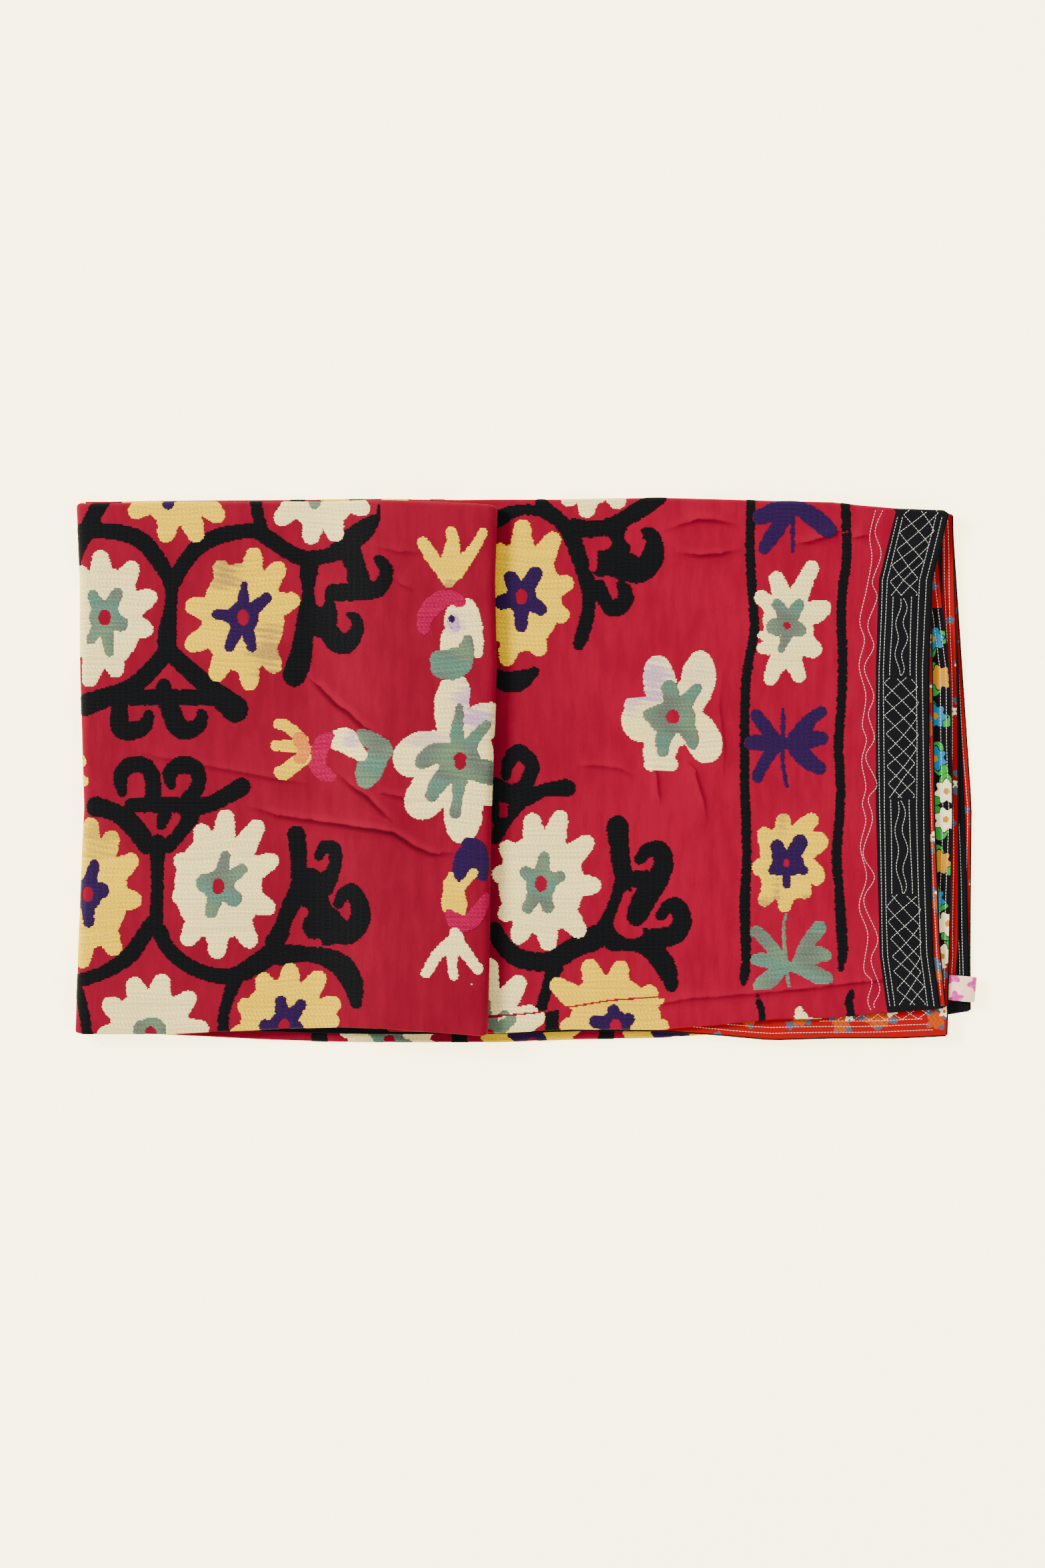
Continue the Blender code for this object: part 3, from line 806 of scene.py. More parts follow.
def yarn(name, roughness, gloss):
    """Embroidery yarn: slanted stitches in rows, painted shade at their ends and the rows' edges, and fine
    twisted plies.
    """
    paint = Paint(name, roughness=roughness, Specular_IOR_Level=gloss)
    along, row = paint.axes(paint.uv())[:2]
    number = row.whole()
    across = row.part()
    place = along / STITCH_LENGTH + paint.chance(number) + across * STITCH_SLANT
    step = place.part()
    chance = paint.chance(place.whole() + number * 17.0)
    gap = 1.0 - (1.0 - (abs(step - 0.5) * -1.0 + 0.5).band(0.0, 0.10)) * (chance * 0.6 + 0.4)
    plies = (along * 900.0 + across * 5.5).sine() * 0.5 + 0.5
    valley = (abs(across - 0.5) * 2.0).band(0.55, 1.0)
    # Painted shade: darker at the stitch ends, at the row's edges between strands, and a little along the
    # plies
    shade = (1.0 - (1.0 - gap) * 0.7) * (1.0 - valley * 0.30) * (0.94 + plies * 0.06) * (0.90 + chance * 0.10)
    painted_yarn_shade = paint.node("ShaderNodeCombineColor", None, shade, shade, shade)
    tone = paint.mixed(1.0, paint.attribute("yarn"), painted_yarn_shade, "MULTIPLY")
    height = gap * 0.6 + plies * 0.25 + (1.0 - valley) * 0.6
    return paint.feed(Base_Color=tone, Normal=paint.bump(height, 0.0006, 0.7))


def stitch_thread():
    paint = Paint("quilting_thread", roughness=0.7)
    soft = paint.noise(paint.place(), 2500.0, 1.0)
    return paint.feed(Base_Color=paint.mixed(soft, (0.80, 0.74, 0.60), (1.0, 0.97, 0.88)))


# The embroidery's charts: flap and panel have one each, because the fold hides what lies between

# In millimetres, apart from a stitch's length in metres and its slant in stitches
ROW_PITCH = 1.5
RIDGE_HEIGHT = 0.45
RIDGE_WIDTH = 1.04 * ROW_PITCH
SIDE_LIFT = 0.08
FOLD_LIFT = 0.22
SHORTEST_STRAND = 1.2
STRAND_STEP = 4.5
UNDER_STRAND_STEP = 9.0
BEHIND_FROM = 12
SAMPLE = 1.0
STITCH_LENGTH = 0.0044
STITCH_SLANT = 0.35
# A little more than a row wanders
SWAY = 3.0


def smooth_line(points, spacing):
    """A Catmull-Rom curve through rows of numbers, in steps of about equal length."""
    given = np.array([points[0], *points, points[-1]], float)
    found = []
    for before, here, after, beyond in zip(given[:-3], given[1:-2], given[2:-1], given[3:]):
        steps = max(int(np.hypot(*(after - here)[:2]) / spacing), 1)
        t = (np.arange(steps) / steps)[:, None]
        square = 2 * before - 5 * here + 4 * after - beyond
        cube = 3 * here - before - 3 * after + beyond
        found.append(0.5 * (2 * here + (after - before) * t + square * t**2 + cube * t**3))
    return np.concatenate([*found, given[-1:]])


def row_sway(s, t):
    """How far a row of yarn wanders from its level: two slow sine waves."""
    return 1.7 * np.sin(s / 31.0 + t / 57.0) + 1.1 * np.sin(s / 17.0 - t / 83.0)


class Canvas:
    """Rows of yarn and the colour at each sample along them."""

    def __init__(self, left, right, low, high):
        self.s = np.arange(left, right, SAMPLE)
        self.rows = np.arange(low, high, ROW_PITCH)
        self.t = self.rows[:, None] + row_sway(self.s[None, :], self.rows[:, None])
        self.label = np.zeros(self.t.shape, np.int8)

    def paint(self, name, inside, x, y, half_x, half_y):
        """Gives a colour to the samples round x, y for which inside(s, t) is true."""
        c0, c1 = np.searchsorted(self.s, (x - half_x, x + half_x))
        r0, r1 = np.searchsorted(self.rows, (y - half_y - SWAY, y + half_y + SWAY))
        if c0 == c1 or r0 == r1:
            return
        window = (slice(r0, r1), slice(c0, c1))
        mask = inside(self.s[None, c0:c1], self.t[window])
        self.label[window][mask] = YARN_NAMES.index(name)

    def stroke(self, name, points):
        """A line of varying width: discs along a smooth curve, their edge a little uneven."""
        for i, (x, y, width) in enumerate(smooth_line(chart(points), 1.5)):
            half = width / 2 + 0.35 * math.sin(i * 0.9 + x * 0.05)
            self.paint(name, lambda s, t: (s - x) ** 2 + (t - y) ** 2 < half * half, x, y, half, half)

    def draw(self, groups, moved=lambda x: x):
        """Strokes in groups of a colour and its lines, their x moved."""
        for name, *paths in groups:
            for points in paths:
                self.stroke(name, [(moved(x), y, width) for x, y, width in points])

    def ellipse(self, name, x, y, half_x, half_y):
        (x, y, half_x, half_y), = chart([(x, y, half_x, half_y)])

        def inside(s, t):
            return ((s - x) / half_x) ** 2 + ((t - y) / half_y) ** 2 < 1

        self.paint(name, inside, x, y, half_x, half_y)

    def petals(self, name, x, y, turn, reach, valley):
        """A flower of six equal round petals.

        Half way to the next petal the radius is the valley's. In between it is the valley plus the
        rise times 1.3 less the angle's share cubed, cut off at the petal's reach.
        """
        (x, y), = chart([(x, y)])
        reach, valley = reach * UNIT, valley * UNIT
        half = np.pi / 6

        def inside(s, t):
            angle = (np.arctan2(t - y, s - x) - math.radians(turn)) % (2 * half)
            share = np.minimum(angle, 2 * half - angle) / half
            rise = np.clip(1.3 * (1 - share**3.0), 0, 1)
            return np.hypot(t - y, s - x) < valley + (reach - valley) * rise

        self.paint(name, inside, x, y, reach, reach)


# Roundel flowers: place of the hole, body's half sizes and petals' yarn, then lobes as angle and
# reach, and the star's arms as angle, reach and the width of their tips
EVEN_LOBES = ((84, 112), (54, 104), (22, 90), (-18, 82), (-56, 98), (-88, 108), (-118, 102), (-156, 84),
              (168, 82), (122, 98))
EVEN_ARMS = ((84, 52, 14), (38, 50, 15), (-36, 44, 18), (-105, 50, 16), (168, 42, 18))
FLAP_FLOWERS = (
    (156, 926, 57, 76, "cream",
     ((94, 101), (61, 95), (24, 86), (-16, 75), (-78, 92), (-104, 107), (119, 88), (150, 80), (185, 76),
      (225, 84)),
     ((118, 46, 16), (62, 50, 17), (-22, 38, 24), (-82, 60, 12), (-122, 46, 14))),
    (364, 926, 62, 82, "yellow",
     ((80, 107), (54, 102), (19, 90), (-57, 98), (-84, 110), (-115, 105), (-152, 98), (167, 89), (114, 94)),
     ((88, 55, 9), (40, 54, 15), (-73, 54, 14), (-115, 56, 15), (173, 48, 14))),
    (262, 715, 56, 74, "yellow",
     ((-99, 100), (-70, 103), (-42, 97), (-139, 90), (-8, 84), (25, 88), (60, 100), (92, 108), (125, 98),
      (170, 84))),
    (482, 715, 62, 78, "cream",
     ((-100, 102), (-76, 100), (-38, 90), (-134, 98), (0, 88), (35, 92), (70, 104), (105, 104), (140, 94),
      (180, 86))),
    (44, 718, 62, 78, "yellow"),
    (129, 1342, 62, 82, "yellow",
     ((87, 116), (66, 104), (37, 95), (-7, 84), (-63, 102), (-94, 112), (120, 100), (150, 86), (184, 82),
      (210, 86), (240, 100)),
     ((76, 54, 15), (15, 34, 24), (-86, 50, 16), (140, 40, 16), (200, 40, 18))),
    (327, 1330, 66, 80, "cream",
     ((84, 116), (57, 118), (26, 100), (-23, 92), (-60, 106), (-91, 109), (-120, 102), (-165, 72),
      (145, 80), (107, 98)),
     ((77, 54, 14), (36, 52, 16), (-38, 42, 26), (-106, 50, 18), (165, 34, 30))),
    (225, 1552, 62, 68, "cream",
     ((108, 90), (78, 92), (43, 90), (6, 88), (144, 88), (180, 80), (220, 90), (255, 96), (285, 96),
      (320, 90)),
     ((52, 27, 34), (149, 28, 26), (-60, 44, 20), (-120, 44, 20))),
    (426, 1541, 66, 72, "yellow",
     ((84, 97), (55, 101), (25, 94), (8, 84), (114, 88), (152, 78), (190, 84), (230, 92), (270, 100),
      (310, 92)),
     ((98, 47, 17), (53, 50, 16), (178, 38, 20), (-10, 30, 26), (-90, 44, 16))),
    (14, 1562, 62, 78, "cream"),
)
PANEL_FLOWERS = (
    (782, 895, 60, 82, "yellow",
     ((89, 117), (61, 111), (17, 82), (-24, 78), (-71, 94), (-103, 106), (115, 88), (150, 80), (190, 80),
      (230, 92)),
     ((119, 44, 22), (59, 52, 22), (-32, 44, 20), (-90, 54, 18), (-165, 42, 22))),
    (888, 680, 52, 76, "cream",
     ((-95, 96), (-61, 93), (-117, 88), (-20, 80), (20, 84), (60, 100), (95, 108), (130, 96), (180, 80))),
    (812, 1326, 64, 76, "cream",
     ((74, 115), (98, 107), (42, 104), (-2, 90), (-51, 101), (-83, 101), (-113, 98), (-140, 82), (167, 76),
      (134, 86)),
     ((84, 49, 16), (21, 39, 16), (-74, 46, 17), (-119, 50, 17), (143, 38, 18))),
)
PANEL_LOW_FLOWERS = (
    (734, 1556, 56, 62, "cream"),
    (924, 1541, 70, 72, "yellow",
     ((109, 101), (78, 96), (144, 108), (36, 88), (0, 80), (180, 84), (220, 96), (260, 100), (300, 96),
      (330, 90)),
     ((97, 34, 20), (165, 40, 20), (30, 32, 20), (-90, 40, 16))),
)
LOBE_WIDTH = 25.0
STAR_BODY = (23, 25)
STAR_HOLE = (9, 12)
STARS = {"cream": "green", "yellow": "purple"}

FLAP_STROKES = (
    ("black",
     ((176, 716, 24), (150, 753, 24), (129, 795, 25), (112, 826, 25), (100, 862, 24)),
     ((120, 796, 24), (144, 795, 23), (182, 799, 24), (213, 812, 26), (240, 845, 24), (255, 878, 20),
      (255, 910, 19), (250, 950, 28), (250, 975, 28)),
     ((262, 872, 20), (270, 853, 22), (294, 822, 24), (330, 803, 24), (378, 796, 22), (404, 808, 24),
      (430, 826, 23), (452, 836, 24), (475, 836, 22), (495, 832, 23), (514, 822, 30), (530, 808, 34),
      (545, 797, 31), (558, 785, 22), (565, 778, 12)),
     ((568, 776, 5), (569, 760, 5)),
     ((382, 745, 18), (386, 770, 18), (393, 800, 22)),
     ((251, 975, 26), (219, 1012, 26), (188, 1035, 27), (155, 1047, 30), (125, 1058, 34)),
     ((252, 975, 26), (270, 993, 26), (296, 1016, 28), (318, 1035, 30), (337, 1051, 36), (352, 1064, 40)),
     ((168, 1046, 24), (331, 1046, 24)),
     ((245, 1028, 22), (245, 1045, 24)),
     ((181, 1048, 22), (178, 1070, 26), (181, 1092, 30), (197, 1096, 28), (213, 1091, 24), (221, 1079, 18),
      (222, 1072, 14)),
     ((251, 1051, 30), (258, 1073, 30), (267, 1091, 30), (283, 1095, 27), (298, 1087, 22), (302, 1076, 18),
      (301, 1070, 14)),
     ((463, 845, 28), (463, 862, 27), (463, 880, 22), (461, 900, 19), (459, 918, 25), (456, 945, 28),
      (453, 970, 31), (449, 990, 35), (443, 1008, 36), (441, 1013, 33)),
     ((479, 918, 52), (480, 930, 52)),
     ((500, 889, 26), (530, 888, 27), (556, 886, 28), (569, 883, 25), (578, 871, 22), (580, 856, 20),
      (573, 844, 17), (566, 839, 12)),
     ((526, 826, 32), (532, 848, 32), (537, 866, 34), (541, 880, 34)),
     ((495, 950, 30), (506, 963, 32), (520, 965, 30), (534, 951, 22), (537, 936, 18), (532, 926, 14),
      (525, 923, 11))),
    ("",
     ((493, 862, 28), (506, 860, 29)),
     ((481, 868, 14), (479, 885, 15), (479, 893, 16), (480, 903, 12))),
    ("black",
     ((182, 1187, 16), (180, 1165, 22), (190, 1150, 24), (212, 1147, 24), (226, 1160, 24), (229, 1185, 24),
      (228, 1200, 26)),
     ((256, 1178, 14), (254, 1160, 22), (270, 1148, 26), (292, 1152, 24), (298, 1172, 22), (290, 1190, 24),
      (280, 1202, 26)),
     ((143, 1210, 30), (168, 1217, 26), (188, 1229, 30), (204, 1245, 30), (219, 1267, 28)),
     ((196, 1208, 22), (264, 1207, 24)),
     ((270, 1235, 30), (290, 1213, 26), (315, 1206, 24), (340, 1193, 26), (362, 1180, 28)),
     ((283, 1226, 30), (251, 1264, 30))),
    ("", ((222, 1224, 13), (229, 1241, 15), (238, 1254, 13), (252, 1244, 13), (264, 1226, 13))),
    ("black",
     ((247, 1220, 22), (241, 1238, 14)),
     ((235, 1265, 28), (235, 1285, 22), (235, 1328, 18.5), (233, 1384, 22)),
     ((226, 1385, 22), (210, 1411, 24), (194, 1433, 25), (168, 1452, 22), (140, 1465, 20), (111, 1473, 22)),
     ((111, 1478, 20), (121, 1506, 17), (127, 1532, 16), (130, 1556, 16)),
     ((239, 1398, 24), (251, 1423, 22), (277, 1446, 22), (302, 1458, 22), (331, 1465, 23), (357, 1462, 26),
      (385, 1446, 30), (404, 1433, 32)),
     ((350, 1474, 22), (341, 1500, 18), (335, 1522, 17), (334, 1545, 17)),
     ((444, 1252, 27), (447, 1280, 26), (448, 1305, 24), (450, 1330, 30), (434, 1362, 26), (424, 1390, 26),
      (412, 1415, 30)),
     ((462, 1328, 52), (470, 1346, 42), (476, 1368, 46), (482, 1388, 56), (496, 1392, 50)),
     ((478, 1284, 14), (487, 1271, 20), (501, 1274, 22), (503, 1293, 20), (497, 1312, 24), (484, 1328, 36)),
     ((508, 1355, 16), (517, 1340, 20), (530, 1338, 24), (540, 1358, 28), (540, 1380, 32), (525, 1398, 34),
      (505, 1395, 40), (490, 1385, 50)),
     ((420, 1433, 32), (459, 1431, 24), (487, 1436, 28), (513, 1449, 34), (529, 1474, 32), (535, 1503, 18))),
    ("", ((456, 1367, 12), (446, 1384, 15), (442, 1402, 15), (456, 1413, 13), (476, 1415, 12))),
)
PANEL_STROKES = (
    ("black",
     ((748, 778, 26), (766, 768, 20), (787, 764, 16), (810, 766, 18), (832, 775, 22), (850, 792, 24),
      (862, 812, 24)),
     ((812, 752, 18), (822, 764, 20), (838, 778, 22)),
     ((857, 800, 28), (868, 832, 24), (878, 862, 24), (884, 885, 24), (884, 905, 20), (880, 930, 21),
      (873, 955, 21), (869, 966, 18)),
     ((862, 790, 26), (884, 793, 26), (908, 790, 24), (933, 780, 24), (955, 767, 26), (975, 754, 26),
      (990, 745, 22)),
     ((967, 800, 16), (976, 800, 20), (982, 815, 26), (978, 838, 34), (962, 855, 36), (940, 850, 44),
      (915, 840, 44), (902, 850, 30)),
     ((926, 800, 34), (926, 820, 40)),
     ((898, 880, 24), (908, 900, 22), (920, 912, 26), (936, 904, 26), (939, 888, 22), (931, 877, 14))),
    ("",
     ((951, 804, 28),),
     ((892, 815, 20), (908, 814, 21)),
     ((890, 828, 13), (890, 850, 13))),
    ("black",
     ((744, 1012, 20), (758, 1022, 30), (775, 1022, 32), (792, 1014, 22), (804, 1006, 12)),
     ((759, 1165, 14), (762, 1145, 20), (778, 1128, 24), (798, 1146, 22), (793, 1168, 22), (783, 1186, 26),
      (762, 1190, 30), (744, 1182, 30)),
     ((790, 1196, 26), (815, 1186, 20), (840, 1182, 24), (852, 1182, 26)),
     ((780, 1203, 22), (762, 1226, 20), (743, 1256, 20)),
     ((743, 1178, 12), (743, 1230, 12))),
    ("", ((755, 1212, 12), (755, 1221, 12))),
    ("black",
     ((927, 1240, 34), (929, 1265, 30), (932, 1295, 28), (936, 1320, 28), (930, 1345, 26), (918, 1375, 26),
      (905, 1398, 30), (888, 1412, 32)),
     ((956, 1319, 27), (970, 1319, 27)),
     ((960, 1289, 16), (972, 1276, 22), (990, 1276, 28), (996, 1295, 30), (988, 1318, 32), (972, 1340, 36),
      (962, 1360, 34), (955, 1375, 30)),
     ((992, 1373, 16), (1005, 1358, 20), (1018, 1362, 26), (1024, 1382, 28), (1015, 1400, 30),
      (990, 1408, 30), (965, 1408, 30)),
     ((742, 1395, 24), (755, 1418, 26), (775, 1436, 28), (803, 1443, 28), (830, 1441, 30), (855, 1426, 30),
      (882, 1411, 34), (905, 1402, 36)),
     ((920, 1410, 34), (950, 1414, 26), (975, 1424, 28), (992, 1440, 32), (1003, 1460, 28), (1008, 1480, 18)),
     ((833, 1452, 24), (822, 1480, 18), (812, 1512, 16))),
    ("", ((942, 1342, 12), (932, 1368, 12), (930, 1388, 18), (946, 1400, 18), (958, 1398, 14))),
)
PANEL_LOW_STROKES = (
    ("black", ((828, 1516, 20), (828, 1545, 20), (827, 1565, 18))),
)

# The wide flower in the middle of the flap and the lone one on the panel: petals, then star
CENTRE_FLOWER = (
    ("cream",
     ((690, 1140, 110),),
     ((684, 1110, 50), (678, 1062, 52), (682, 1038, 48), (687, 1030, 32)),
     ((700, 1115, 50), (722, 1086, 56), (737, 1080, 52)),
     ((665, 1132, 72), (630, 1130, 62), (618, 1138, 56)),
     ((665, 1160, 60), (642, 1192, 60), (633, 1204, 52)),
     ((692, 1170, 60), (695, 1205, 58), (695, 1232, 54), (692, 1247, 36)),
     ((710, 1150, 60), (736, 1180, 58))),
    ("green",
     ((690, 1142, 62),),
     ((690, 1130, 26), (686, 1100, 20), (689, 1075, 14), (690, 1061, 10)),
     ((700, 1125, 24), (715, 1105, 18), (730, 1088, 14)),
     ((680, 1130, 30), (655, 1130, 30), (640, 1138, 26), (632, 1145, 18)),
     ((675, 1155, 30), (655, 1180, 24), (648, 1194, 18)),
     ((690, 1160, 30), (688, 1190, 16), (683, 1220, 17)),
     ((700, 1150, 36), (737, 1160, 36))),
    ("", ((691, 1138, 18), (691, 1146, 18))),
)
LONE_FLOWER = (
    ("cream",
     ((1010, 1076, 88),),
     ((1004, 1060, 50), (992, 1030, 50), (988, 1008, 44), (986, 995, 26)),
     ((1030, 1058, 50), (1046, 1028, 52), (1050, 1006, 48), (1051, 992, 32), (1049, 984, 16)),
     ((1030, 1080, 50), (1050, 1100, 54), (1058, 1114, 52), (1060, 1121, 48)),
     ((1000, 1100, 50), (992, 1120, 52), (990, 1131, 48)),
     ((976, 1147, 18), (1008, 1147, 20)),
     ((985, 1083, 66), (966, 1080, 66)),
     ((946, 1056, 18), (966, 1058, 26))),
    ("green",
     ((996, 1077, 44), (1022, 1077, 44)),
     ((1008, 1055, 22), (1007, 1040, 24), (1005, 1032, 25)),
     ((1025, 1058, 26), (1038, 1042, 18), (1047, 1032, 15)),
     ((995, 1072, 26), (978, 1073, 22), (971, 1071, 12)),
     ((1000, 1096, 28), (995, 1112, 23), (995, 1127, 17)),
     ((1028, 1088, 28), (1038, 1105, 22), (1040, 1118, 14))),
    ("", ((1010, 1075, 20),)),
)
CENTRE_STROKES = (
    ("yellow",
     ((674, 872, 20), (647, 834, 20), (635, 815, 18)),
     ((676, 850, 34), (680, 815, 20), (677, 798, 16)),
     ((684, 858, 26), (710, 826, 17), (725, 800, 14)),
     ((676, 852, 40), (675, 866, 24), (674, 874, 12))),
    ("cream",
     ((690, 906, 16), (698, 916, 36), (694, 930, 54), (698, 950, 54), (700, 962, 46)),
     ((680, 958, 36), (672, 970, 22)),
     ((714, 955, 22), (717, 972, 17), (717, 981, 13))),
    ("pink",
     ((689, 902, 20), (674, 897, 22), (657, 904, 28), (645, 916, 28), (637, 930, 23), (637, 942, 19))),
    ("lilac", ((680, 932, 16), (684, 942, 12))),
    ("purple", ((678, 929, 10),)),
    ("green",
     ((702, 960, 15), (700, 976, 24)),
     ((660, 990, 28), (662, 1002, 30), (680, 1002, 36), (694, 996, 30), (698, 982, 26)),
     ((670, 988, 26), (690, 986, 30))),
    ("purple",
     ((703, 1267, 22), (711, 1280, 42), (710, 1292, 50), (724, 1306, 22), (725, 1313, 16)),
     ((700, 1290, 38), (692, 1308, 28), (687, 1322, 14))),
    ("yellow",
     ((677, 1312, 8), (676, 1325, 20), (681, 1340, 32), (682, 1356, 38), (690, 1365, 20)),
     ((690, 1332, 16), (700, 1322, 12), (711, 1309, 14))),
    ("pink",
     ((675, 1371, 14), (684, 1381, 24), (698, 1386, 22), (712, 1376, 25), (724, 1358, 20), (730, 1346, 14))),
    ("cream",
     ((683, 1400, 17), (683, 1412, 26), (659, 1429, 18), (647, 1447, 17), (640, 1459, 15)),
     ((683, 1410, 24), (679, 1437, 16), (679, 1453, 14), (681, 1463, 14)),
     ((683, 1410, 24), (700, 1430, 18), (712, 1446, 16), (717, 1452, 17)),
     ((708, 1475, 2), (713, 1474, 2))),
    ("green",
     ((541, 1104, 20), (556, 1110, 26), (574, 1121, 27)),
     ((580, 1127, 22), (567, 1135, 34), (556, 1152, 41), (550, 1167, 32))),
    ("cream", ((508, 1110, 32), (519, 1111, 37), (530, 1122, 28), (541, 1132, 20))),
    ("pink",
     ((495, 1104, 12), (486, 1112, 23), (479, 1126, 27), (475, 1141, 28), (481, 1156, 24), (491, 1163, 20),
      (499, 1166, 12))),
    ("yellow",
     ((452, 1112, 22), (441, 1098, 17), (427, 1088, 17), (417, 1086, 16)),
     ((450, 1118, 24), (430, 1119, 18), (414, 1118, 16)),
     ((455, 1135, 24), (440, 1148, 23), (426, 1159, 22), (419, 1158, 18))),
    ("peach", ((449, 1108, 20), (457, 1124, 19), (450, 1137, 18))),
)

BORDER_STROKES = (
    ("black",
     ((1128, 740, 14), (1126, 819, 14), (1128, 870, 14), (1131, 909, 14), (1132, 947, 14), (1123, 998, 14),
      (1119, 1036, 14), (1118, 1087, 14), (1118, 1180, 14), (1120, 1232, 15), (1121, 1292, 14),
      (1118, 1363, 16), (1120, 1441, 14), (1117, 1464, 14), (1116, 1476, 7)),
     ((1269, 740, 14), (1271, 802, 14), (1271, 843, 14), (1265, 881, 14), (1263, 925, 14), (1265, 984, 14),
      (1264, 1043, 14), (1259, 1116, 14), (1262, 1180, 14), (1260, 1232, 14), (1256, 1285, 15),
      (1260, 1337, 14), (1263, 1389, 16), (1265, 1428, 15), (1262, 1455, 7))),
    ("purple",
     ((1190, 740, 8), (1190, 790, 7), (1190, 826, 6)),
     ((1188, 758, 24), (1164, 766, 28), (1141, 775, 23)),
     ((1184, 770, 18), (1162, 800, 24), (1147, 822, 18)),
     ((1194, 758, 22), (1220, 774, 28), (1243, 794, 26)),
     ((1175, 1064, 4), (1175, 1083, 7), (1175, 1138, 6), (1178, 1165, 6), (1182, 1181, 4)),
     ((1168, 1114, 16), (1149, 1091, 21), (1135, 1072, 18)),
     ((1165, 1117, 22), (1149, 1114, 25), (1128, 1114, 22)),
     ((1163, 1122, 20), (1149, 1141, 18), (1138, 1162, 17), (1138, 1167, 15)),
     ((1185, 1112, 14), (1203, 1097, 26), (1217, 1079, 20), (1233, 1068, 17)),
     ((1196, 1114, 30), (1222, 1108, 25), (1233, 1108, 20)),
     ((1186, 1117, 16), (1203, 1131, 27), (1217, 1144, 24), (1230, 1152, 20))),
    ("green",
     ((1181, 1366, 4), (1177, 1389, 5), (1178, 1423, 6), (1184, 1482, 5)),
     ((1176, 1446, 18), (1158, 1421, 20), (1139, 1400, 18), (1134, 1398, 16)),
     ((1174, 1448, 24), (1150, 1441, 22), (1135, 1440, 18)),
     ((1173, 1454, 20), (1152, 1472, 27), (1140, 1479, 20)),
     ((1196, 1451, 18), (1212, 1417, 22), (1230, 1393, 22)),
     ((1202, 1449, 24), (1224, 1433, 27), (1240, 1434, 18)),
     ((1206, 1453, 24), (1228, 1464, 25), (1240, 1468, 20)),
     ((1178, 1451, 13), (1200, 1452, 16))),
)
BORDER_BLOOMS = (
    ("cream",
     ((1184, 930, 76), (1184, 945, 74)),
     ((1184, 925, 40), (1200, 890, 30), (1219, 851, 21)),
     ((1180, 925, 40), (1172, 886, 28), (1166, 868, 22)),
     ((1180, 930, 40), (1158, 908, 28), (1143, 896, 22)),
     ((1186, 925, 40), (1222, 918, 34), (1236, 912, 24)),
     ((1182, 950, 30), (1158, 956, 18), (1144, 952, 14)),
     ((1182, 955, 30), (1156, 970, 22), (1144, 972, 17)),
     ((1186, 950, 40), (1212, 968, 34), (1222, 974, 24)),
     ((1182, 975, 40), (1164, 1000, 26), (1157, 1018, 21)),
     ((1184, 975, 40), (1192, 996, 26), (1199, 1012, 22))),
    ("green",
     ((1183, 932, 24), (1172, 912, 18), (1167, 906, 15)),
     ((1184, 932, 24), (1196, 912, 18), (1200, 906, 15)),
     ((1184, 938, 26), (1166, 940, 26), (1161, 939, 22)),
     ((1184, 938, 26), (1198, 944, 22), (1202, 945, 18)),
     ((1184, 945, 22), (1178, 960, 14), (1173, 974, 10))),
    ("", ((1182, 938, 10),)),
    ("yellow",
     ((1181, 1278, 80), (1181, 1312, 80)),
     ((1180, 1270, 36), (1176, 1240, 24), (1176, 1231, 22)),
     ((1192, 1262, 36), (1210, 1238, 26), (1218, 1231, 22)),
     ((1200, 1276, 44), (1228, 1263, 32)),
     ((1200, 1300, 44), (1222, 1310, 30), (1226, 1318, 22)),
     ((1196, 1320, 38), (1208, 1338, 22)),
     ((1180, 1330, 36), (1178, 1358, 20)),
     ((1166, 1322, 36), (1148, 1350, 20)),
     ((1166, 1300, 40), (1142, 1302, 27)),
     ((1164, 1276, 40), (1149, 1256, 24), (1148, 1252, 22))),
    ("purple",
     ((1176, 1296, 34), (1190, 1296, 34)),
     ((1172, 1284, 26), (1167, 1270, 20)),
     ((1190, 1284, 24), (1201, 1264, 24)),
     ((1168, 1302, 22), (1160, 1306, 14)),
     ((1196, 1300, 22), (1206, 1306, 14)),
     ((1181, 1308, 14), (1181, 1328, 12))),
    ("", ((1180, 1293, 8), (1180, 1297, 8))),
)
BORDER_LOW_STROKES = (
    ("black",
     ((1137, 1495, 5), (1139, 1503, 10), (1143, 1517, 10), (1146, 1545, 10)),
     ((1279, 1486, 5), (1277, 1495, 11), (1275, 1506, 12), (1282, 1545, 12))),
    ("cream", ((1200, 1516, 11), (1203, 1527, 18), (1215, 1531, 9), (1242, 1534, 5))),
)

# Stains and faded places: x, y, half sizes, tone, strength
LILAC_STAIN = (0.48, 0.27, 0.46)
VIOLET_STAIN = (0.142, 0.069, 0.088)
BROWN_STAIN = (0.21, 0.125, 0.059)
STAINS = (
    (336, 860, 26, 20, VIOLET_STAIN, 0.6),
    (404, 975, 26, 34, VIOLET_STAIN, 0.6),
    (150, 1250, 30, 30, BROWN_STAIN, 0.4),
    (700, 1050, 18, 30, LILAC_STAIN, 0.7),
    (716, 1078, 22, 24, LILAC_STAIN, 0.8),
    (640, 1108, 30, 14, LILAC_STAIN, 0.5),
    (529, 1106, 12, 16, LILAC_STAIN, 0.7),
    (682, 934, 14, 14, LILAC_STAIN, 0.7),
    (674, 880, 8, 8, VIOLET_STAIN, 0.6),
    (980, 1018, 24, 40, LILAC_STAIN, 0.85),
    (947, 1056, 18, 16, LILAC_STAIN, 0.6),
    (1048, 1010, 26, 30, LILAC_STAIN, 0.25),
    (1174, 1230, 8, 14, VIOLET_STAIN, 0.5),
    (1166, 1336, 5, 14, VIOLET_STAIN, 0.6),
    (1146, 1356, 12, 8, VIOLET_STAIN, 0.5),
    (1214, 1348, 10, 6, VIOLET_STAIN, 0.5),
)


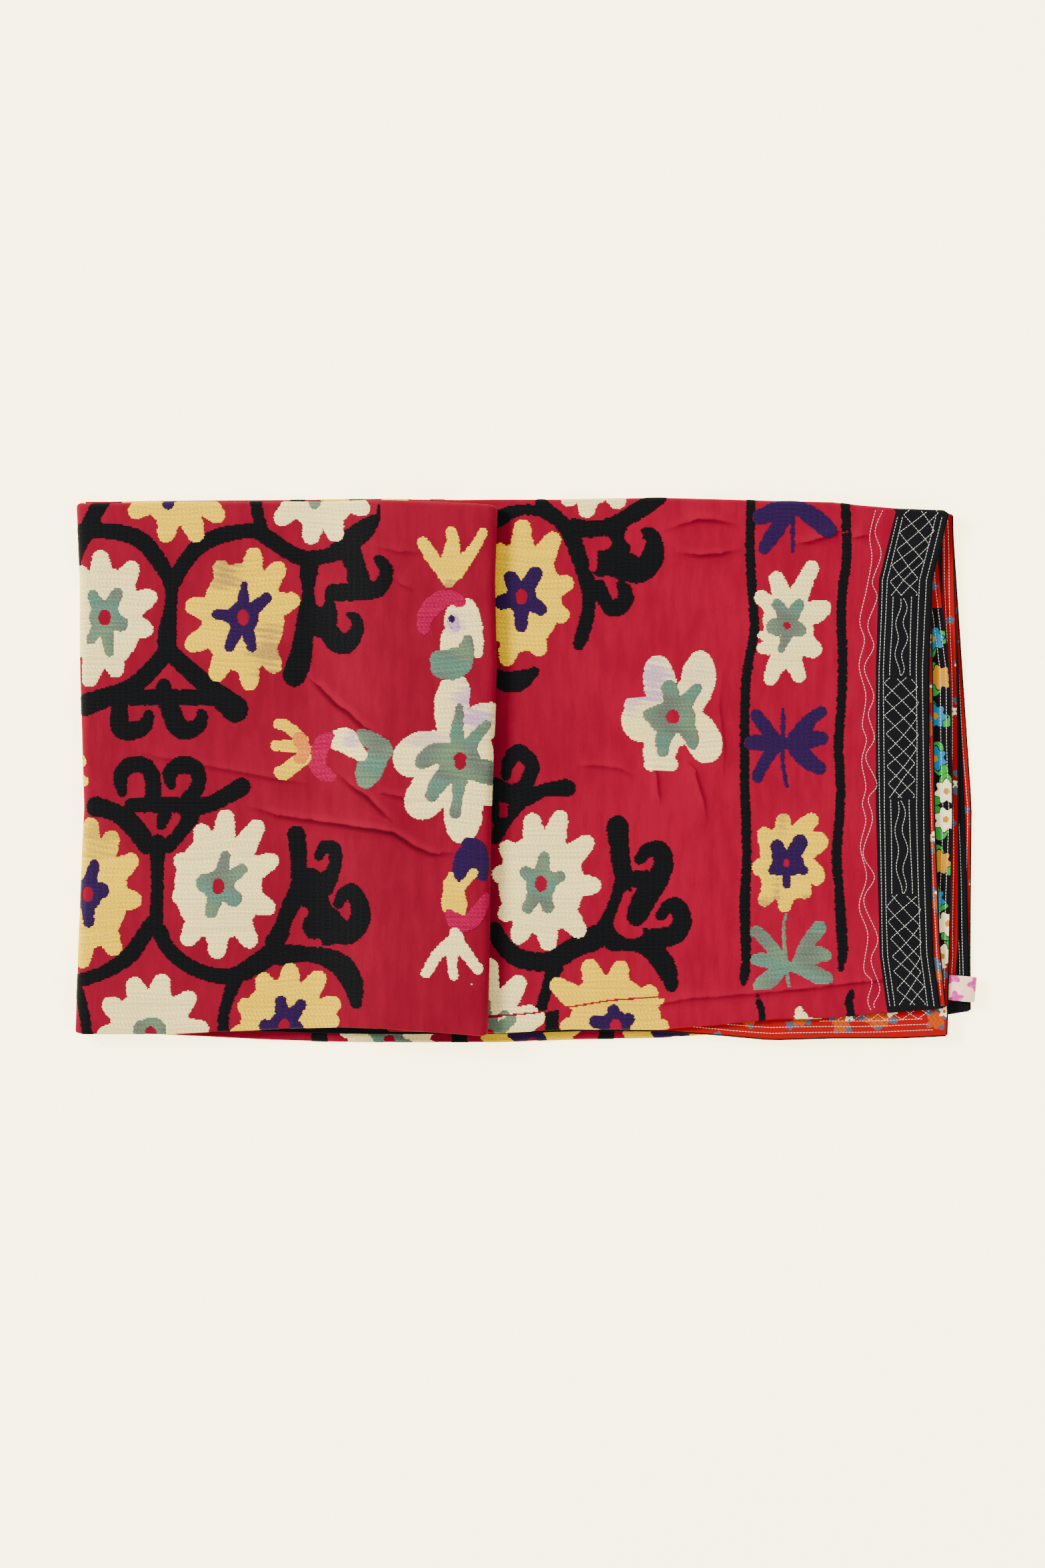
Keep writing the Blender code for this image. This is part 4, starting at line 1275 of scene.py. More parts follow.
def ray(x, y, degrees, *stops):
    """Chart points at distances from x, y in one direction, each with its width."""
    angle = math.radians(degrees)
    return [(x + reach * math.cos(angle), y - reach * math.sin(angle), width) for reach, width in stops]


def roundel(canvas, x, y, half_x, half_y, petals, lobes=EVEN_LOBES, arms=EVEN_ARMS):
    """A flower: an oval body with round-ended lobes, a star on it and a small hole in the star."""
    canvas.ellipse(petals, x, y, half_x, half_y)
    for angle, reach in lobes:
        stops = (0.3 * reach, 46), (0.7 * reach, 33), (reach - LOBE_WIDTH / 2, LOBE_WIDTH)
        canvas.stroke(petals, ray(x, y, angle, *stops))
    canvas.ellipse(STARS[petals], x, y, *STAR_BODY)
    for angle, reach, width in arms:
        canvas.stroke(STARS[petals], ray(x, y, angle, (6, 26), (reach - width / 2, width)))
    canvas.ellipse("", x, y, *STAR_HOLE)


def six_petals(canvas, x, y, reach, lean, arm):
    """The wide flower between the roundels: six round petals and a star with six arms."""
    canvas.petals("cream", x, y, lean, reach, 0.66 * reach)
    for angle in lean + 2 + np.arange(6) * 60:
        canvas.stroke("green", ray(x, y, angle, (0, 30), (arm / 2, 27), (arm, 24)))
    canvas.ellipse("", x, y, 9, 13)


def turned(points, x, y, degrees):
    """Chart points given round (0, 0) turned and moved to x, y."""
    cos, sin = math.cos(math.radians(degrees)), math.sin(math.radians(degrees))
    return [(x + px * cos - py * sin, y + px * sin + py * cos, width) for px, py, width in points]


# The horned ornament between two rings of a cluster, drawn pointing down from the cluster's middle
HORNS = (
    ((-10, 270, 30), (-34, 300, 28), (-76, 322, 24), (-128, 342, 26)),
    ((10, 270, 30), (34, 300, 28), (76, 322, 24), (100, 346, 28)),
    ((-76, 330, 22), (66, 330, 22)),
    ((-68, 340, 20), (-74, 372, 22), (-58, 388, 24), (-36, 378, 22), (-30, 358, 16)),
    ((-6, 340, 26), (0, 372, 24), (24, 386, 24), (46, 376, 22), (48, 356, 16)),
)
# A cluster's slant in degrees, its reach across and up, a ring's half sizes and its width
CLUSTER_TURN = -2.5
CLUSTER_REACH = (216, 210)
RING = (106, 124)
RING_WIDTH = 24


def cluster(canvas, x, y, centre, around):
    """Seven roundels in rings with horned ornaments between them."""
    circle = np.linspace(0, 2 * np.pi, 25)
    turns = [math.radians(CLUSTER_TURN + 60 * k) for k in range(6)]
    places = [(x + CLUSTER_REACH[0] * math.cos(a), y - CLUSTER_REACH[1] * math.sin(a)) for a in turns]
    for k, (px, py) in enumerate(places):
        outline = stacked(px + RING[0] * np.cos(circle), py + RING[1] * np.sin(circle), RING_WIDTH)
        canvas.stroke("black", outline)
        for line in HORNS:
            canvas.stroke("black", turned(line, x, y, 60 * k - CLUSTER_TURN))
    for k, place in enumerate([*places, (x, y)]):
        canvas.ellipse("", *place, 92, 110)
        roundel(canvas, *place, 62, 78, centre if k == 6 else around[k % 2])


# How far left of the drawn flowers the pattern comes again, and the sum of x for a border mirrored
REPEAT = 820
BORDER_MIRROR = 60
CHART_LOW, CHART_HIGH = -325, 325
FLAP_DOTS = ((116, 1142, 12, 10), (122, 1172, 10, 8))
LOW_SLIP = (10, 6)
SEAM_GAP = 1.0


def chart_flap():
    """The flap's chart, carried on round the left fold and along the underlay."""
    canvas = Canvas(-1510, 10, CHART_LOW, CHART_HIGH)
    cluster(canvas, -558, 722, "cream", ("yellow", "cream"))
    cluster(canvas, -595, 1560, "yellow", ("cream", "yellow"))
    six_petals(canvas, -130, 1140, 110, 14, 56)
    canvas.draw(CENTRE_STROKES, lambda x: x - REPEAT)
    six_petals(canvas, -920, 1150, 74, 10, 36)
    canvas.draw(BORDER_STROKES + BORDER_LOW_STROKES, lambda x: BORDER_MIRROR - x)
    canvas.draw(FLAP_STROKES)
    for dot in FLAP_DOTS:
        canvas.ellipse("yellow", *dot)
    for flower in FLAP_FLOWERS:
        roundel(canvas, *flower)
    canvas.draw(CENTRE_FLOWER + CENTRE_STROKES)
    return canvas


SEAM_LINE = (
    (730, 1526), (803, 1520), (862, 1510), (918, 1501), (976, 1497), (1030, 1495), (1100, 1491), (1205, 1481),
    (1327, 1468),
)


def seam_height(s):
    """The joined cloth's seam near the bottom of the panel, in millimetres."""
    return np.interp(s, *chart(SEAM_LINE).T)


def chart_panel():
    """The panel's chart. Below the seam the pattern has slipped a little."""
    canvas = Canvas(-52, 420, CHART_LOW, CHART_HIGH)
    canvas.draw(PANEL_STROKES)
    for flower in PANEL_FLOWERS:
        roundel(canvas, *flower)
    canvas.draw(LONE_FLOWER + BORDER_STROKES + BORDER_BLOOMS)
    seam = seam_height(canvas.s)[None, :]
    lower, upper = canvas.t < seam - SEAM_GAP, canvas.t > seam + SEAM_GAP
    for x, y, *flower in PANEL_LOW_FLOWERS:
        roundel(canvas, x - LOW_SLIP[0], y - LOW_SLIP[1], *flower)
    kept = canvas.label.copy()
    canvas.label[:] = 0
    for flower in PANEL_LOW_FLOWERS:
        roundel(canvas, *flower)
    canvas.draw(PANEL_LOW_STROKES + BORDER_LOW_STROKES)
    canvas.label[:] = np.where(lower, canvas.label, np.where(upper, kept, 0))
    return canvas


NOSE_TUCK = 12.0


def folds_at(space, s, y):
    """For each point of a chart: the part of the path, the share of its fold, and x on the run.

    The flap's chart runs on over the left fold and along the underlay, where x grows again as the
    chart's s falls. Round a fold the share is the arc's length over half a turn of the outer face.
    """
    if space == "panel":
        return np.full(s.shape, PANEL), np.zeros(s.shape), s
    arc = np.pi * OUTER_REACH
    left_end, flap_end = fold_axes(y)
    reached = [s > flap_end, s >= left_end, s > left_end - arc]
    code = np.select(reached, [FLAP_FOLD, FLAP, LEFT_FOLD], UNDER)
    share = np.select(reached, [1 - (s - flap_end) / arc, 0 * s, (left_end - s) / arc], 0)
    return code, share, np.where(code == UNDER, 2 * left_end - arc - s, s)


def run_folds(code, share, x):
    """Axis heights of the top and bottom folds where the point is."""
    weights = {
        "panel": code == PANEL,
        "flap": (code == FLAP) + (code == FLAP_FOLD) * share + (code == LEFT_FOLD) * (1 - share),
        "under": (code == UNDER) + (code == LEFT_FOLD) * share,
        "turn": (code == FLAP_FOLD) * (1 - share),
    }
    top, low = sum(weight * run_extents(name, x)[:2] for name, weight in weights.items())
    return top - RUN_HALF, low + NOSE_RADIUS


def on_cloth(space, s, t, lift):
    """Points on the outer face at chart place s, t, raised by lift.

    Above the top fold's axis t goes round it as an arc, and below the bottom fold's axis round the
    nose and on into the layer behind.
    """
    code, share, x = folds_at(space, s, t)
    top, low = run_folds(code, share, x)
    over, under = np.maximum(t - top, 0) / RUN_HALF, np.maximum(low - t, 0) / NOSE_RADIUS
    tucked = np.maximum(under - np.pi, 0) * NOSE_RADIUS
    under = np.minimum(under, np.pi)
    crest, nose = RUN_HALF + lift, NOSE_RADIUS + lift
    bent = [t > top, t < low]
    y = np.select(bent, [top + crest * np.sin(over), low - nose * np.sin(under) + tucked], t)
    flat = crest + top_relief(code, x, y, low, top)
    n = np.select(bent, [crest * np.cos(over), LAYER + nose * np.cos(under)], flat)
    return carry(code, share, x, y, n)


def visible(space, canvas):
    """Where the embroidery is worked: short of the hidden layers and of the bands."""
    s, t = np.broadcast_arrays(canvas.s, canvas.t)
    code, share, x = folds_at(space, s, t)
    top, low = run_folds(code, share, x)
    shown = (t < top + 0.9 * np.pi * RUN_HALF) & (t > low - np.pi * NOSE_RADIUS - NOSE_TUCK)
    if space == "panel":
        return shown & (s < edge("panel_1", t) - BAND_WIDTH - SEAM - 1) & (t < top + 8)
    shown &= (code != UNDER) | (x < edge("under_1", t) - BAND_WIDTH - SEAM - 1)
    return shown & ((code != FLAP_FOLD) | (share > 0.05))


def speckle(values, seed):
    """A repeatable number from 0 to 1 for each value."""
    return (np.sin(values * 12.9898 + seed * 78.233) * 43758.5453) % 1.0


def strand_colour(name, s, t, row):
    """Yarn colours with each row's own tone, slow changes along it, and the chart's stains."""

    def toward(tone, colour, share):
        return tone + (np.array(colour) - tone) * share[:, None]

    tone = np.tile(YARN_COLOURS[name], (len(s), 1))
    if name == "green":
        tone = toward(tone, GREEN_GREY, 0.4 + 0.4 * np.sin(s / 9.0 + 0.8 * np.sin(t / 7.0) + t / 23.0))
        tone = toward(tone, GREEN_TEAL, smooth(np.sin(t / 11.0 + s / 31.0) * 0.9))
    tone = tone * (0.90 + 0.20 * speckle(row, 3.0) + 0.06 * np.sin(s / 23.0 + row * 1.7))[:, None]
    for x, y, half_x, half_y, stain, strength in STAINS if name in ("cream", "yellow") else ():
        (x, y, half_x, half_y), = chart([(x, y, half_x, half_y)])
        wobble = 0.35 * np.sin(s / 5.0 + 1.3 * row) + 0.3 * np.sin(t / 4.0)
        share = smooth(1.4 - np.hypot((s - x) / half_x, (t - y) / half_y) + wobble)
        tone = toward(tone, stain, strength * share)
    return tone


def strands(canvas, space, name, step, keep):
    """Ridges of yarn for one colour: points, faces, uv, colours and the triangles at their ends.

    Each run of the colour along a row becomes a three-sided strand. Its first and last sections
    are low and narrow, and it starts and stops a little off its mark, as hand stitches do.
    """
    mask = np.zeros((canvas.label.shape[0], canvas.label.shape[1] + 2), bool)
    mask[:, 1:-1] = (canvas.label == YARN_NAMES.index(name)) & keep
    row, first = np.nonzero(mask[:, 1:-1] & ~mask[:, :-2])
    last = np.nonzero(mask[:, 1:-1] & ~mask[:, 2:])[1]
    draw = np.random.default_rng(YARN_NAMES.index(name) * 7 + len(space))
    start = canvas.s[first] - 0.5 * SAMPLE + draw.uniform(-0.7, 0.5, len(row))
    stop = canvas.s[last] + 0.5 * SAMPLE + draw.uniform(-0.5, 0.7, len(row))
    long_enough = stop - start > SHORTEST_STRAND
    row, start, stop = row[long_enough], start[long_enough], stop[long_enough]
    if not len(row):
        return None
    count = np.maximum(np.ceil((stop - start) / step).astype(int), 2) + 2
    ends = np.cumsum(count)
    owner = np.repeat(np.arange(len(row)), count)
    place = np.arange(ends[-1]) - np.repeat(ends - count, count)
    reach = count[owner] - 1
    length = (stop - start)[owner]
    tip = np.minimum(0.8, 0.25 * length)
    inner = tip + (place - 1) / np.maximum(reach - 2, 1) * (length - 2 * tip)
    s = start[owner] + np.select([place == 0, place == reach], [0, length], inner)
    t = canvas.rows[row[owner]] + row_sway(s, canvas.rows[row[owner]])
    at_end = (place == 0) | (place == reach)
    rise = np.where(at_end, 0.35, 0.9 + 0.2 * speckle(owner + place * 0.37, 1.0)) * RIDGE_HEIGHT
    half = np.where(at_end, 0.6, 1.0) * RIDGE_WIDTH / 2
    side = np.tile((-1.0, 0.0, 1.0), len(s))
    s, t, number = np.repeat(s, 3), np.repeat(t, 3) + side * np.repeat(half, 3), np.repeat(row[owner], 3)
    bent = np.isin(folds_at(space, s, t)[0], (FLAP_FOLD, LEFT_FOLD)) | (np.abs(s - FLAP_X + 12) < 20)
    lift = np.where(side == 0, np.repeat(rise, 3), SIDE_LIFT) + FOLD_LIFT * bent
    uv = np.stack([s * MM, number + 0.5 + side * 0.48], axis=-1)
    base = 3 * np.nonzero(place < reach)[0]
    corners = ((0, 1), (1, 2), (2, 0))
    faces = [np.stack([base + a, base + 3 + a, base + 3 + b, base + b], -1) for a, b in corners]
    heads, tails = 3 * (ends - count), 3 * (ends - 1)
    caps = [np.stack([heads, heads + 1, heads + 2], -1), np.stack([tails + 2, tails + 1, tails], -1)]
    tones = strand_colour(name, s, t, number)
    return on_cloth(space, s, t, lift), np.concatenate(faces), uv, tones, np.concatenate(caps)


def add_embroidery(name, material, *pieces):
    """One piece of yarn from several stretches of strands."""
    pieces = [made for made in pieces if made is not None]
    if not pieces:
        return
    starts = np.cumsum([0] + [len(made[0]) for made in pieces])
    points, uv, tones = (np.concatenate([made[k] for made in pieces]) for k in (0, 2, 3))
    quads, caps = (np.concatenate([made[k] + start for made, start in zip(pieces, starts)]) for k in (1, 4))
    mesh = make_mesh(name, points, quads, caps, uv=uv, colours=tones, colours_name="yarn", sharp=80)
    add_piece(name, mesh, material)
    print(name, "triangles", 2 * len(quads) + len(caps))


# Quilting


DASH = 2.5
DASH_PITCH = 3.4
DASH_WIDTHS = 0.32 * np.array((0.55, 1.0, 0.55))
DASH_HEIGHTS = np.array((0.05, 0.5, 0.05))


def dashes(paths):
    """White machine stitches: three-sided dashes, raised in the middle, evenly along each path."""
    spots, up = [], []
    for path, side_up in paths:
        along = walked(path)
        starts = np.arange(0.2, along[-1] - DASH, DASH_PITCH)
        stations = starts[:, None] + np.array((0, DASH / 2, DASH))
        spots.append(stacked(*(np.interp(stations, along, path[:, k]) for k in range(3))))
        up.append(np.full(len(starts), side_up))
    spots, up = np.concatenate(spots), np.concatenate(up)[:, None, None] * np.array((0.0, 0.0, 1.0))
    side = unit(np.cross(spots[:, 2] - spots[:, 0], up[:, 0]))[:, None, :] * DASH_WIDTHS[None, :, None]
    ridges = [spots - side, spots + up * DASH_HEIGHTS[None, :, None], spots + side]
    quads = [(a, a + 3, b + 3, b) for a, b in ((0, 1), (1, 2), (2, 0), (3, 4), (4, 5), (5, 3))]
    faces = 9 * np.arange(len(spots))[:, None, None] + np.array(quads)
    return np.stack(ridges, axis=2).reshape(-1, 3), faces.reshape(-1, 4)


def band_face(run, distance, y, lift):
    """Points on the outer face of an end band: distance from its hem, y, and the lift above it."""
    hem = edge(f"{run}_1", y)
    if run == "panel":
        z = PANEL_Z + RUN_HALF + band_relief(PANEL_END, distance, y) + lift
    else:
        z = UNDER_Z - RUN_HALF - lift
    return stacked(hem - distance, y, z)


DIAMOND = 18.0
BRAID_LINES = (15.4, 37.4)
QUILT_LOW, QUILT_HIGH = -262.0, 286.0
QUILT_MARKS = (762, 893, 1013, 1197, 1341, 1508)
FIELD = (11.0, 45.5)
LINES = (3.4, 8.6, 45.0, 52.2)


def crosshatch(low, high):
    """Four zigzags that cross: each swings between the field's sides as a triangle wave of the height."""
    y = np.arange(low, high, 1.5)
    found = []
    for k in range(4):
        phase = (y - low) / (4 * DIAMOND) + k / 4 + 0.035 * np.sin(y / 17 + 2 * k)
        swing = np.abs(2 * (phase % 1.0) - 1)
        found.append(stacked(mix(*FIELD, swing) + 2.2 * np.sin(y / 19 + 2 * k), y))
    return found


def braid(low, high):
    """Two waves that part and meet again, between two level lines.

    Each is the middle plus or less a bulge, the square root of a half sine, and both share a
    smaller wave.
    """
    y = np.arange(low, high, 1.5)
    share = np.clip((y - low) / (high - low), 0, 1)
    bulge = 5.0 * np.sqrt(np.abs(np.sin(np.pi * share)))
    wave = 2.6 * np.sin(share * np.pi * 5 + 0.6)
    middle = (FIELD[0] + FIELD[1]) / 2 - 2.0
    found = [stacked(middle + turn * bulge + lean * wave, y) for turn, lean in ((1.0, 1.0), (-0.9, 0.7))]
    return found + [stacked(at + 0.8 * np.sin(y / 37 + at), y) for at in BRAID_LINES]


def band_quilting():
    """Every quilting line of an end band as (from the seam, y) points."""
    y = np.arange(QUILT_LOW, QUILT_HIGH, 2.0)
    found = [stacked(line + 0.5 * np.sin(y / 40 + line), y) for line in LINES]
    marks = chart([(0, mark) for mark in QUILT_MARKS])[:, 1]
    for k, (high, low) in enumerate(zip(marks[:-1], marks[1:])):
        found += (crosshatch, braid)[k % 2](low, high)
    return found


def dense(path):
    along = walked(path)
    at = np.arange(0, along[-1], 1.5)
    return stacked(*(np.interp(at, along, path[:, k]) for k in range(path.shape[1])))


def band_relief(code, distance, y):
    """The padded band: low along the quilting lines and full between them."""
    from_seam = BAND_WIDTH - distance
    away = np.min([np.abs(from_seam - line) for line in (0.0, *LINES, *FIELD, BAND_WIDTH)], axis=0)
    return np.where(code == PANEL_END, 0.9 * (1 - np.exp(-((away / 2.6) ** 2))), 0.0)


def band_top(code, x, y, low, top):
    """The same relief from x: the distance from the hem is the hem's x less x."""
    inside = smooth((y - low) / 6) * smooth((top - y) / 6)
    return band_relief(code, edge("panel_1", y) - x, y) * inside


QUILT_WAVES = (
    ((1315, 764), (1306, 802), (1309, 837), (1301, 884), (1291, 931), (1298, 960), (1290, 999),
     (1300, 1043), (1295, 1087), (1301, 1110), (1294, 1142), (1300, 1180), (1295, 1206), (1300, 1232),
     (1292, 1271), (1301, 1316), (1290, 1360), (1303, 1402), (1297, 1454), (1309, 1473), (1303, 1501),
     (1309, 1518)),
    ((1326, 764), (1314, 796), (1323, 831), (1310, 872), (1317, 896), (1303, 937), (1312, 969),
     (1298, 1002), (1312, 1043), (1304, 1072), (1313, 1107), (1300, 1136), (1317, 1176), (1304, 1198),
     (1310, 1230), (1296, 1281), (1313, 1316), (1297, 1352), (1318, 1407), (1308, 1441), (1321, 1483),
     (1312, 1507), (1317, 1517)),
)

# Stitch lines that show on the layers below the top one: run, layer, its height in layers,
# distance from the hem, and from and to in y
STRIP_LINES = (
    ("panel", 2, 0.5, 3.0, -250, 120),
    ("panel", 3, -0.5, 3.4, 120, 284),
    ("panel", 4, -1.5, 4.0, -250, 285),
    ("panel", 4, -1.5, 10.5, -250, 285),
    ("under", 3, 0.5, 5.0, -250, 285),
    ("under", 3, 0.5, 9.5, -250, 285),
    ("under", 2, -0.5, 5.5, -255, 285),
    ("under", 2, -0.5, 10.0, -255, 285),
    ("under", 1, -1.5, 3.6, -255, 285),
)
HEM_LINES = ((6.0, 60, 462), (12.5, 190, 456), (18.5, 330, 448))
HEM_ZIGZAG = (19.0, 44.0, 350, 455)


def strip_paths():
    """Lines along the hems of lower layers, and the quilting of the panel's lowest hem."""
    found = []
    for run, layer, level, distance, low, high in STRIP_LINES:
        y = np.arange(low, high, 2.0)
        z = (PANEL_Z if run == "panel" else UNDER_Z) + level * LAYER + HALF_CLOTH + 0.06
        x = edge(f"{run}_{layer}", y) - distance + 0.5 * np.sin(y / 27 + distance)
        found.append(stacked(x, y, z))
    z = PANEL_Z - 1.5 * LAYER + HALF_CLOTH + 0.06
    for distance, left, right in HEM_LINES:
        x = np.arange(left, right, 2.0)
        found.append(stacked(x, extent("panel_hem", x) + distance + 0.4 * np.sin(x / 21), z))
    near, far, left, right = HEM_ZIGZAG
    x = np.arange(left, right, 1.5)
    for k in range(4):
        swing = np.abs(2 * (((x - left) / (4 * DIAMOND) + k / 4) % 1.0) - 1)
        line = stacked(x, extent("panel_hem", x) + mix(near, far, swing), z)
        found.append(line[line[:, 1] < extent("panel_bottom", x) + 2])
    return found


def add_quilting(material):
    paths = []
    for line in band_quilting():
        line = dense(line)
        for run, lift, up in (("panel", 0.08, 1.0), ("under", 0.05, -1.0)):
            paths.append((band_face(run, BAND_WIDTH - line[:, 0], line[:, 1], lift), up))
    for wave in QUILT_WAVES:
        s, t = dense(smooth_line(chart(wave), 2.0)).T
        paths.append((on_cloth("panel", s, t, 0.05), 1.0))
    paths += [(path, 1.0) for path in strip_paths() if len(path) > 3]
    add_piece("quilting_stitches", make_mesh("quilting_stitches", *dashes(paths)), material)


# Piping and loop

PIPING_RADIUS = 0.95
PIPING_OUT = 0.7
LOOP_THICKNESS = 1.1
LOOP_WIDTH = 28.0
LOOP_Y = -241.0
LOOP_TURN = math.radians(-5)
LOOP_LINE = (
    (468.2, 8.35), (475.0, 8.35), (483.0, 8.3), (488.5, 6.9), (495.0, 6.1), (501.0, 6.8), (504.2, 9.8),
    (501.8, 13.0), (496.5, 14.4), (489.5, 14.3), (483.5, 12.8), (478.5, 10.9), (474.0, 9.9), (468.2, 9.85),
)


def tube(path):
    """A tube: round each point of a path, a hexagon square to the path's direction."""
    direction = unit(np.gradient(path, axis=0))
    reference = np.where(np.abs(direction[:, 2:3]) > 0.8, (1.0, 0.0, 0.0), (0.0, 0.0, 1.0))
    side = unit(np.cross(direction, reference))
    angle = (np.arange(6) * np.pi / 3)[None, :, None]
    circle = side[:, None] * np.cos(angle) + np.cross(side, direction)[:, None] * np.sin(angle)
    return (path[:, None] + PIPING_RADIUS * circle).reshape(-1, 3), tube_faces(len(path), 6)


def add_piping(material, cross, whole):
    """A thin rolled edge of black cotton along the lining's two end hems and its outer hem."""
    hems = [
        skin(end_places(code, run, (-PIPING_OUT,)), cross, -0.5 * PLY - PLY_GAP / 2)[0]
        for code, run in ((PANEL_END, "panel"), (UNDER_END, "under"))
    ]
    hems.append(side_skin(whole, "4", np.array([-PIPING_OUT]), 0.5 * PLY_GAP)[:, 0])
    parts = [tube(hem) for hem in hems]
    starts = np.cumsum([0] + [len(points) for points, _ in parts])
    points = np.concatenate([points for points, _ in parts])
    faces = np.concatenate([faces + start for (_, faces), start in zip(parts, starts)])
    add_piece("lining_piping", make_mesh("lining_piping", points, faces, sharp=80), material)


def add_loop(material):
    """The doubled strip: its centre line swept across its width, its edges rounded."""
    line = smooth_line(LOOP_LINE, 1.2)
    direction = unit(np.gradient(line, axis=0))
    normal = np.stack([-direction[:, 1], direction[:, 0]], axis=-1)
    width = np.array((-0.5, -0.47, -0.25, 0.0, 0.25, 0.47, 0.5))
    height = np.array((0.0, 1.0, 1.0, 1.0, 1.0, 1.0, 0.0)) * LOOP_THICKNESS / 2
    around = np.concatenate([np.stack([width, height], 1), np.stack([width, -height], 1)[-2:0:-1]])
    along = line[:, None, 0] - LOOP_LINE[0][0] + normal[:, None, 0] * around[None, :, 1]
    z = line[:, None, 1] + normal[:, None, 1] * around[None, :, 1]
    side = np.broadcast_to(around[None, :, 0] * LOOP_WIDTH, along.shape)
    x = LOOP_LINE[0][0] + along * math.cos(LOOP_TURN) - side * math.sin(LOOP_TURN)
    y = LOOP_Y + along * math.sin(LOOP_TURN) + side * math.cos(LOOP_TURN)
    points = np.stack([x, y, z], axis=-1).reshape(-1, 3)
    stations, count = len(line), len(around)
    length = walked(line)
    uv = np.stack([np.repeat(length, count), np.tile(around[:, 0] * LOOP_WIDTH, stations)], axis=-1) * MM
    faces = outward(points, tube_faces(stations, count))
    half = count // 2
    ladder = np.array([(k, k + 1, (count - k - 1) % count, (count - k) % count) for k in range(half)])
    for first in (0, (stations - 1) * count):
        cap = first + ladder
        faces = np.concatenate([faces, cap if first else cap[:, ::-1]])
    mesh = make_mesh("loop_of_print", points, faces, uv=uv, sharp=60)
    made = add_piece("loop_of_print", mesh, material, ("hanging_loop",))


# Making


FLOOR_HALF = 6.0
FLOOR_DROP = 0.6


def add_floor():
    corners = np.array([(-1, -1, 0), (1, -1, 0), (1, 1, 0), (-1, 1, 0)])
    points = FLOOR_HALF / MM * corners + MIDDLE - (0, 0, FLOOR_DROP)
    paint = Paint("floor_paper", roughness=0.9)
    paint.shader.inputs["Base Color"].default_value = (0.9, 0.885, 0.84, 1.0)
    paint.shader.inputs["Emission Color"].default_value = (1.0, 0.83, 0.35, 1.0)
    paint.shader.inputs["Emission Strength"].default_value = 4.7
    floor = bpy.data.objects.new("floor", make_mesh("floor", points, np.array([(0, 1, 2, 3)])))
    floor.data.materials.append(paint.material)
    bpy.context.scene.collection.objects.link(floor)


def add_light(name, place, size, power, tint=(1, 1, 1)):
    data = bpy.data.lights.new(name, "AREA")
    data.shape, data.size, data.energy, data.color = "DISK", size, power, tint
    made = bpy.data.objects.new(name, data)
    made.location = place
    made.rotation_mode = "QUATERNION"
    made.rotation_quaternion = (-Vector(place)).to_track_quat("-Z", "Y")
    bpy.context.scene.collection.objects.link(made)


def add_camera():
    """Straight above, with the photographed frame 1.74 m tall at the cloth's level."""
    data = bpy.data.cameras.new("camera")
    data.lens, data.sensor_width = 100.0, 36.0
    tall = FRAME_HEIGHT * UNIT * MM
    made = bpy.data.objects.new("camera", data)
    made.location = (-0.0043, -0.0152, 0.03 + tall * data.lens / data.sensor_width)
    bpy.context.scene.collection.objects.link(made)
    bpy.context.scene.camera = made


def add_world():
    world = bpy.data.worlds.new("studio")
    world.use_nodes = True
    background = world.node_tree.nodes["Background"]
    background.inputs["Color"].default_value = (1.0, 0.99, 0.97, 1.0)
    background.inputs["Strength"].default_value = 0.85
    bpy.context.scene.world = world


# Numbers of lines across each layer and fold, and how far each ply's faces lie from the middle
FINE = {"3": 5, "inner_top": 5, "2": 5, "bottom": 8, "1": 135, "outer_top": 9, "4": 5}
PLAIN = {"3": 8, "inner_top": 5, "2": 8, "bottom": 8, "1": 30, "outer_top": 10, "4": 12}
BAND = {**PLAIN, "1": 150}
FACE = (PLY_GAP / 2, HALF_CLOTH)
BACK = (-HALF_CLOTH, -PLY_GAP / 2)
BAND_STEPS = (0, 4, 10, 20, 32, 45)
COARSE_PATH = (14, 14, 20, 7)

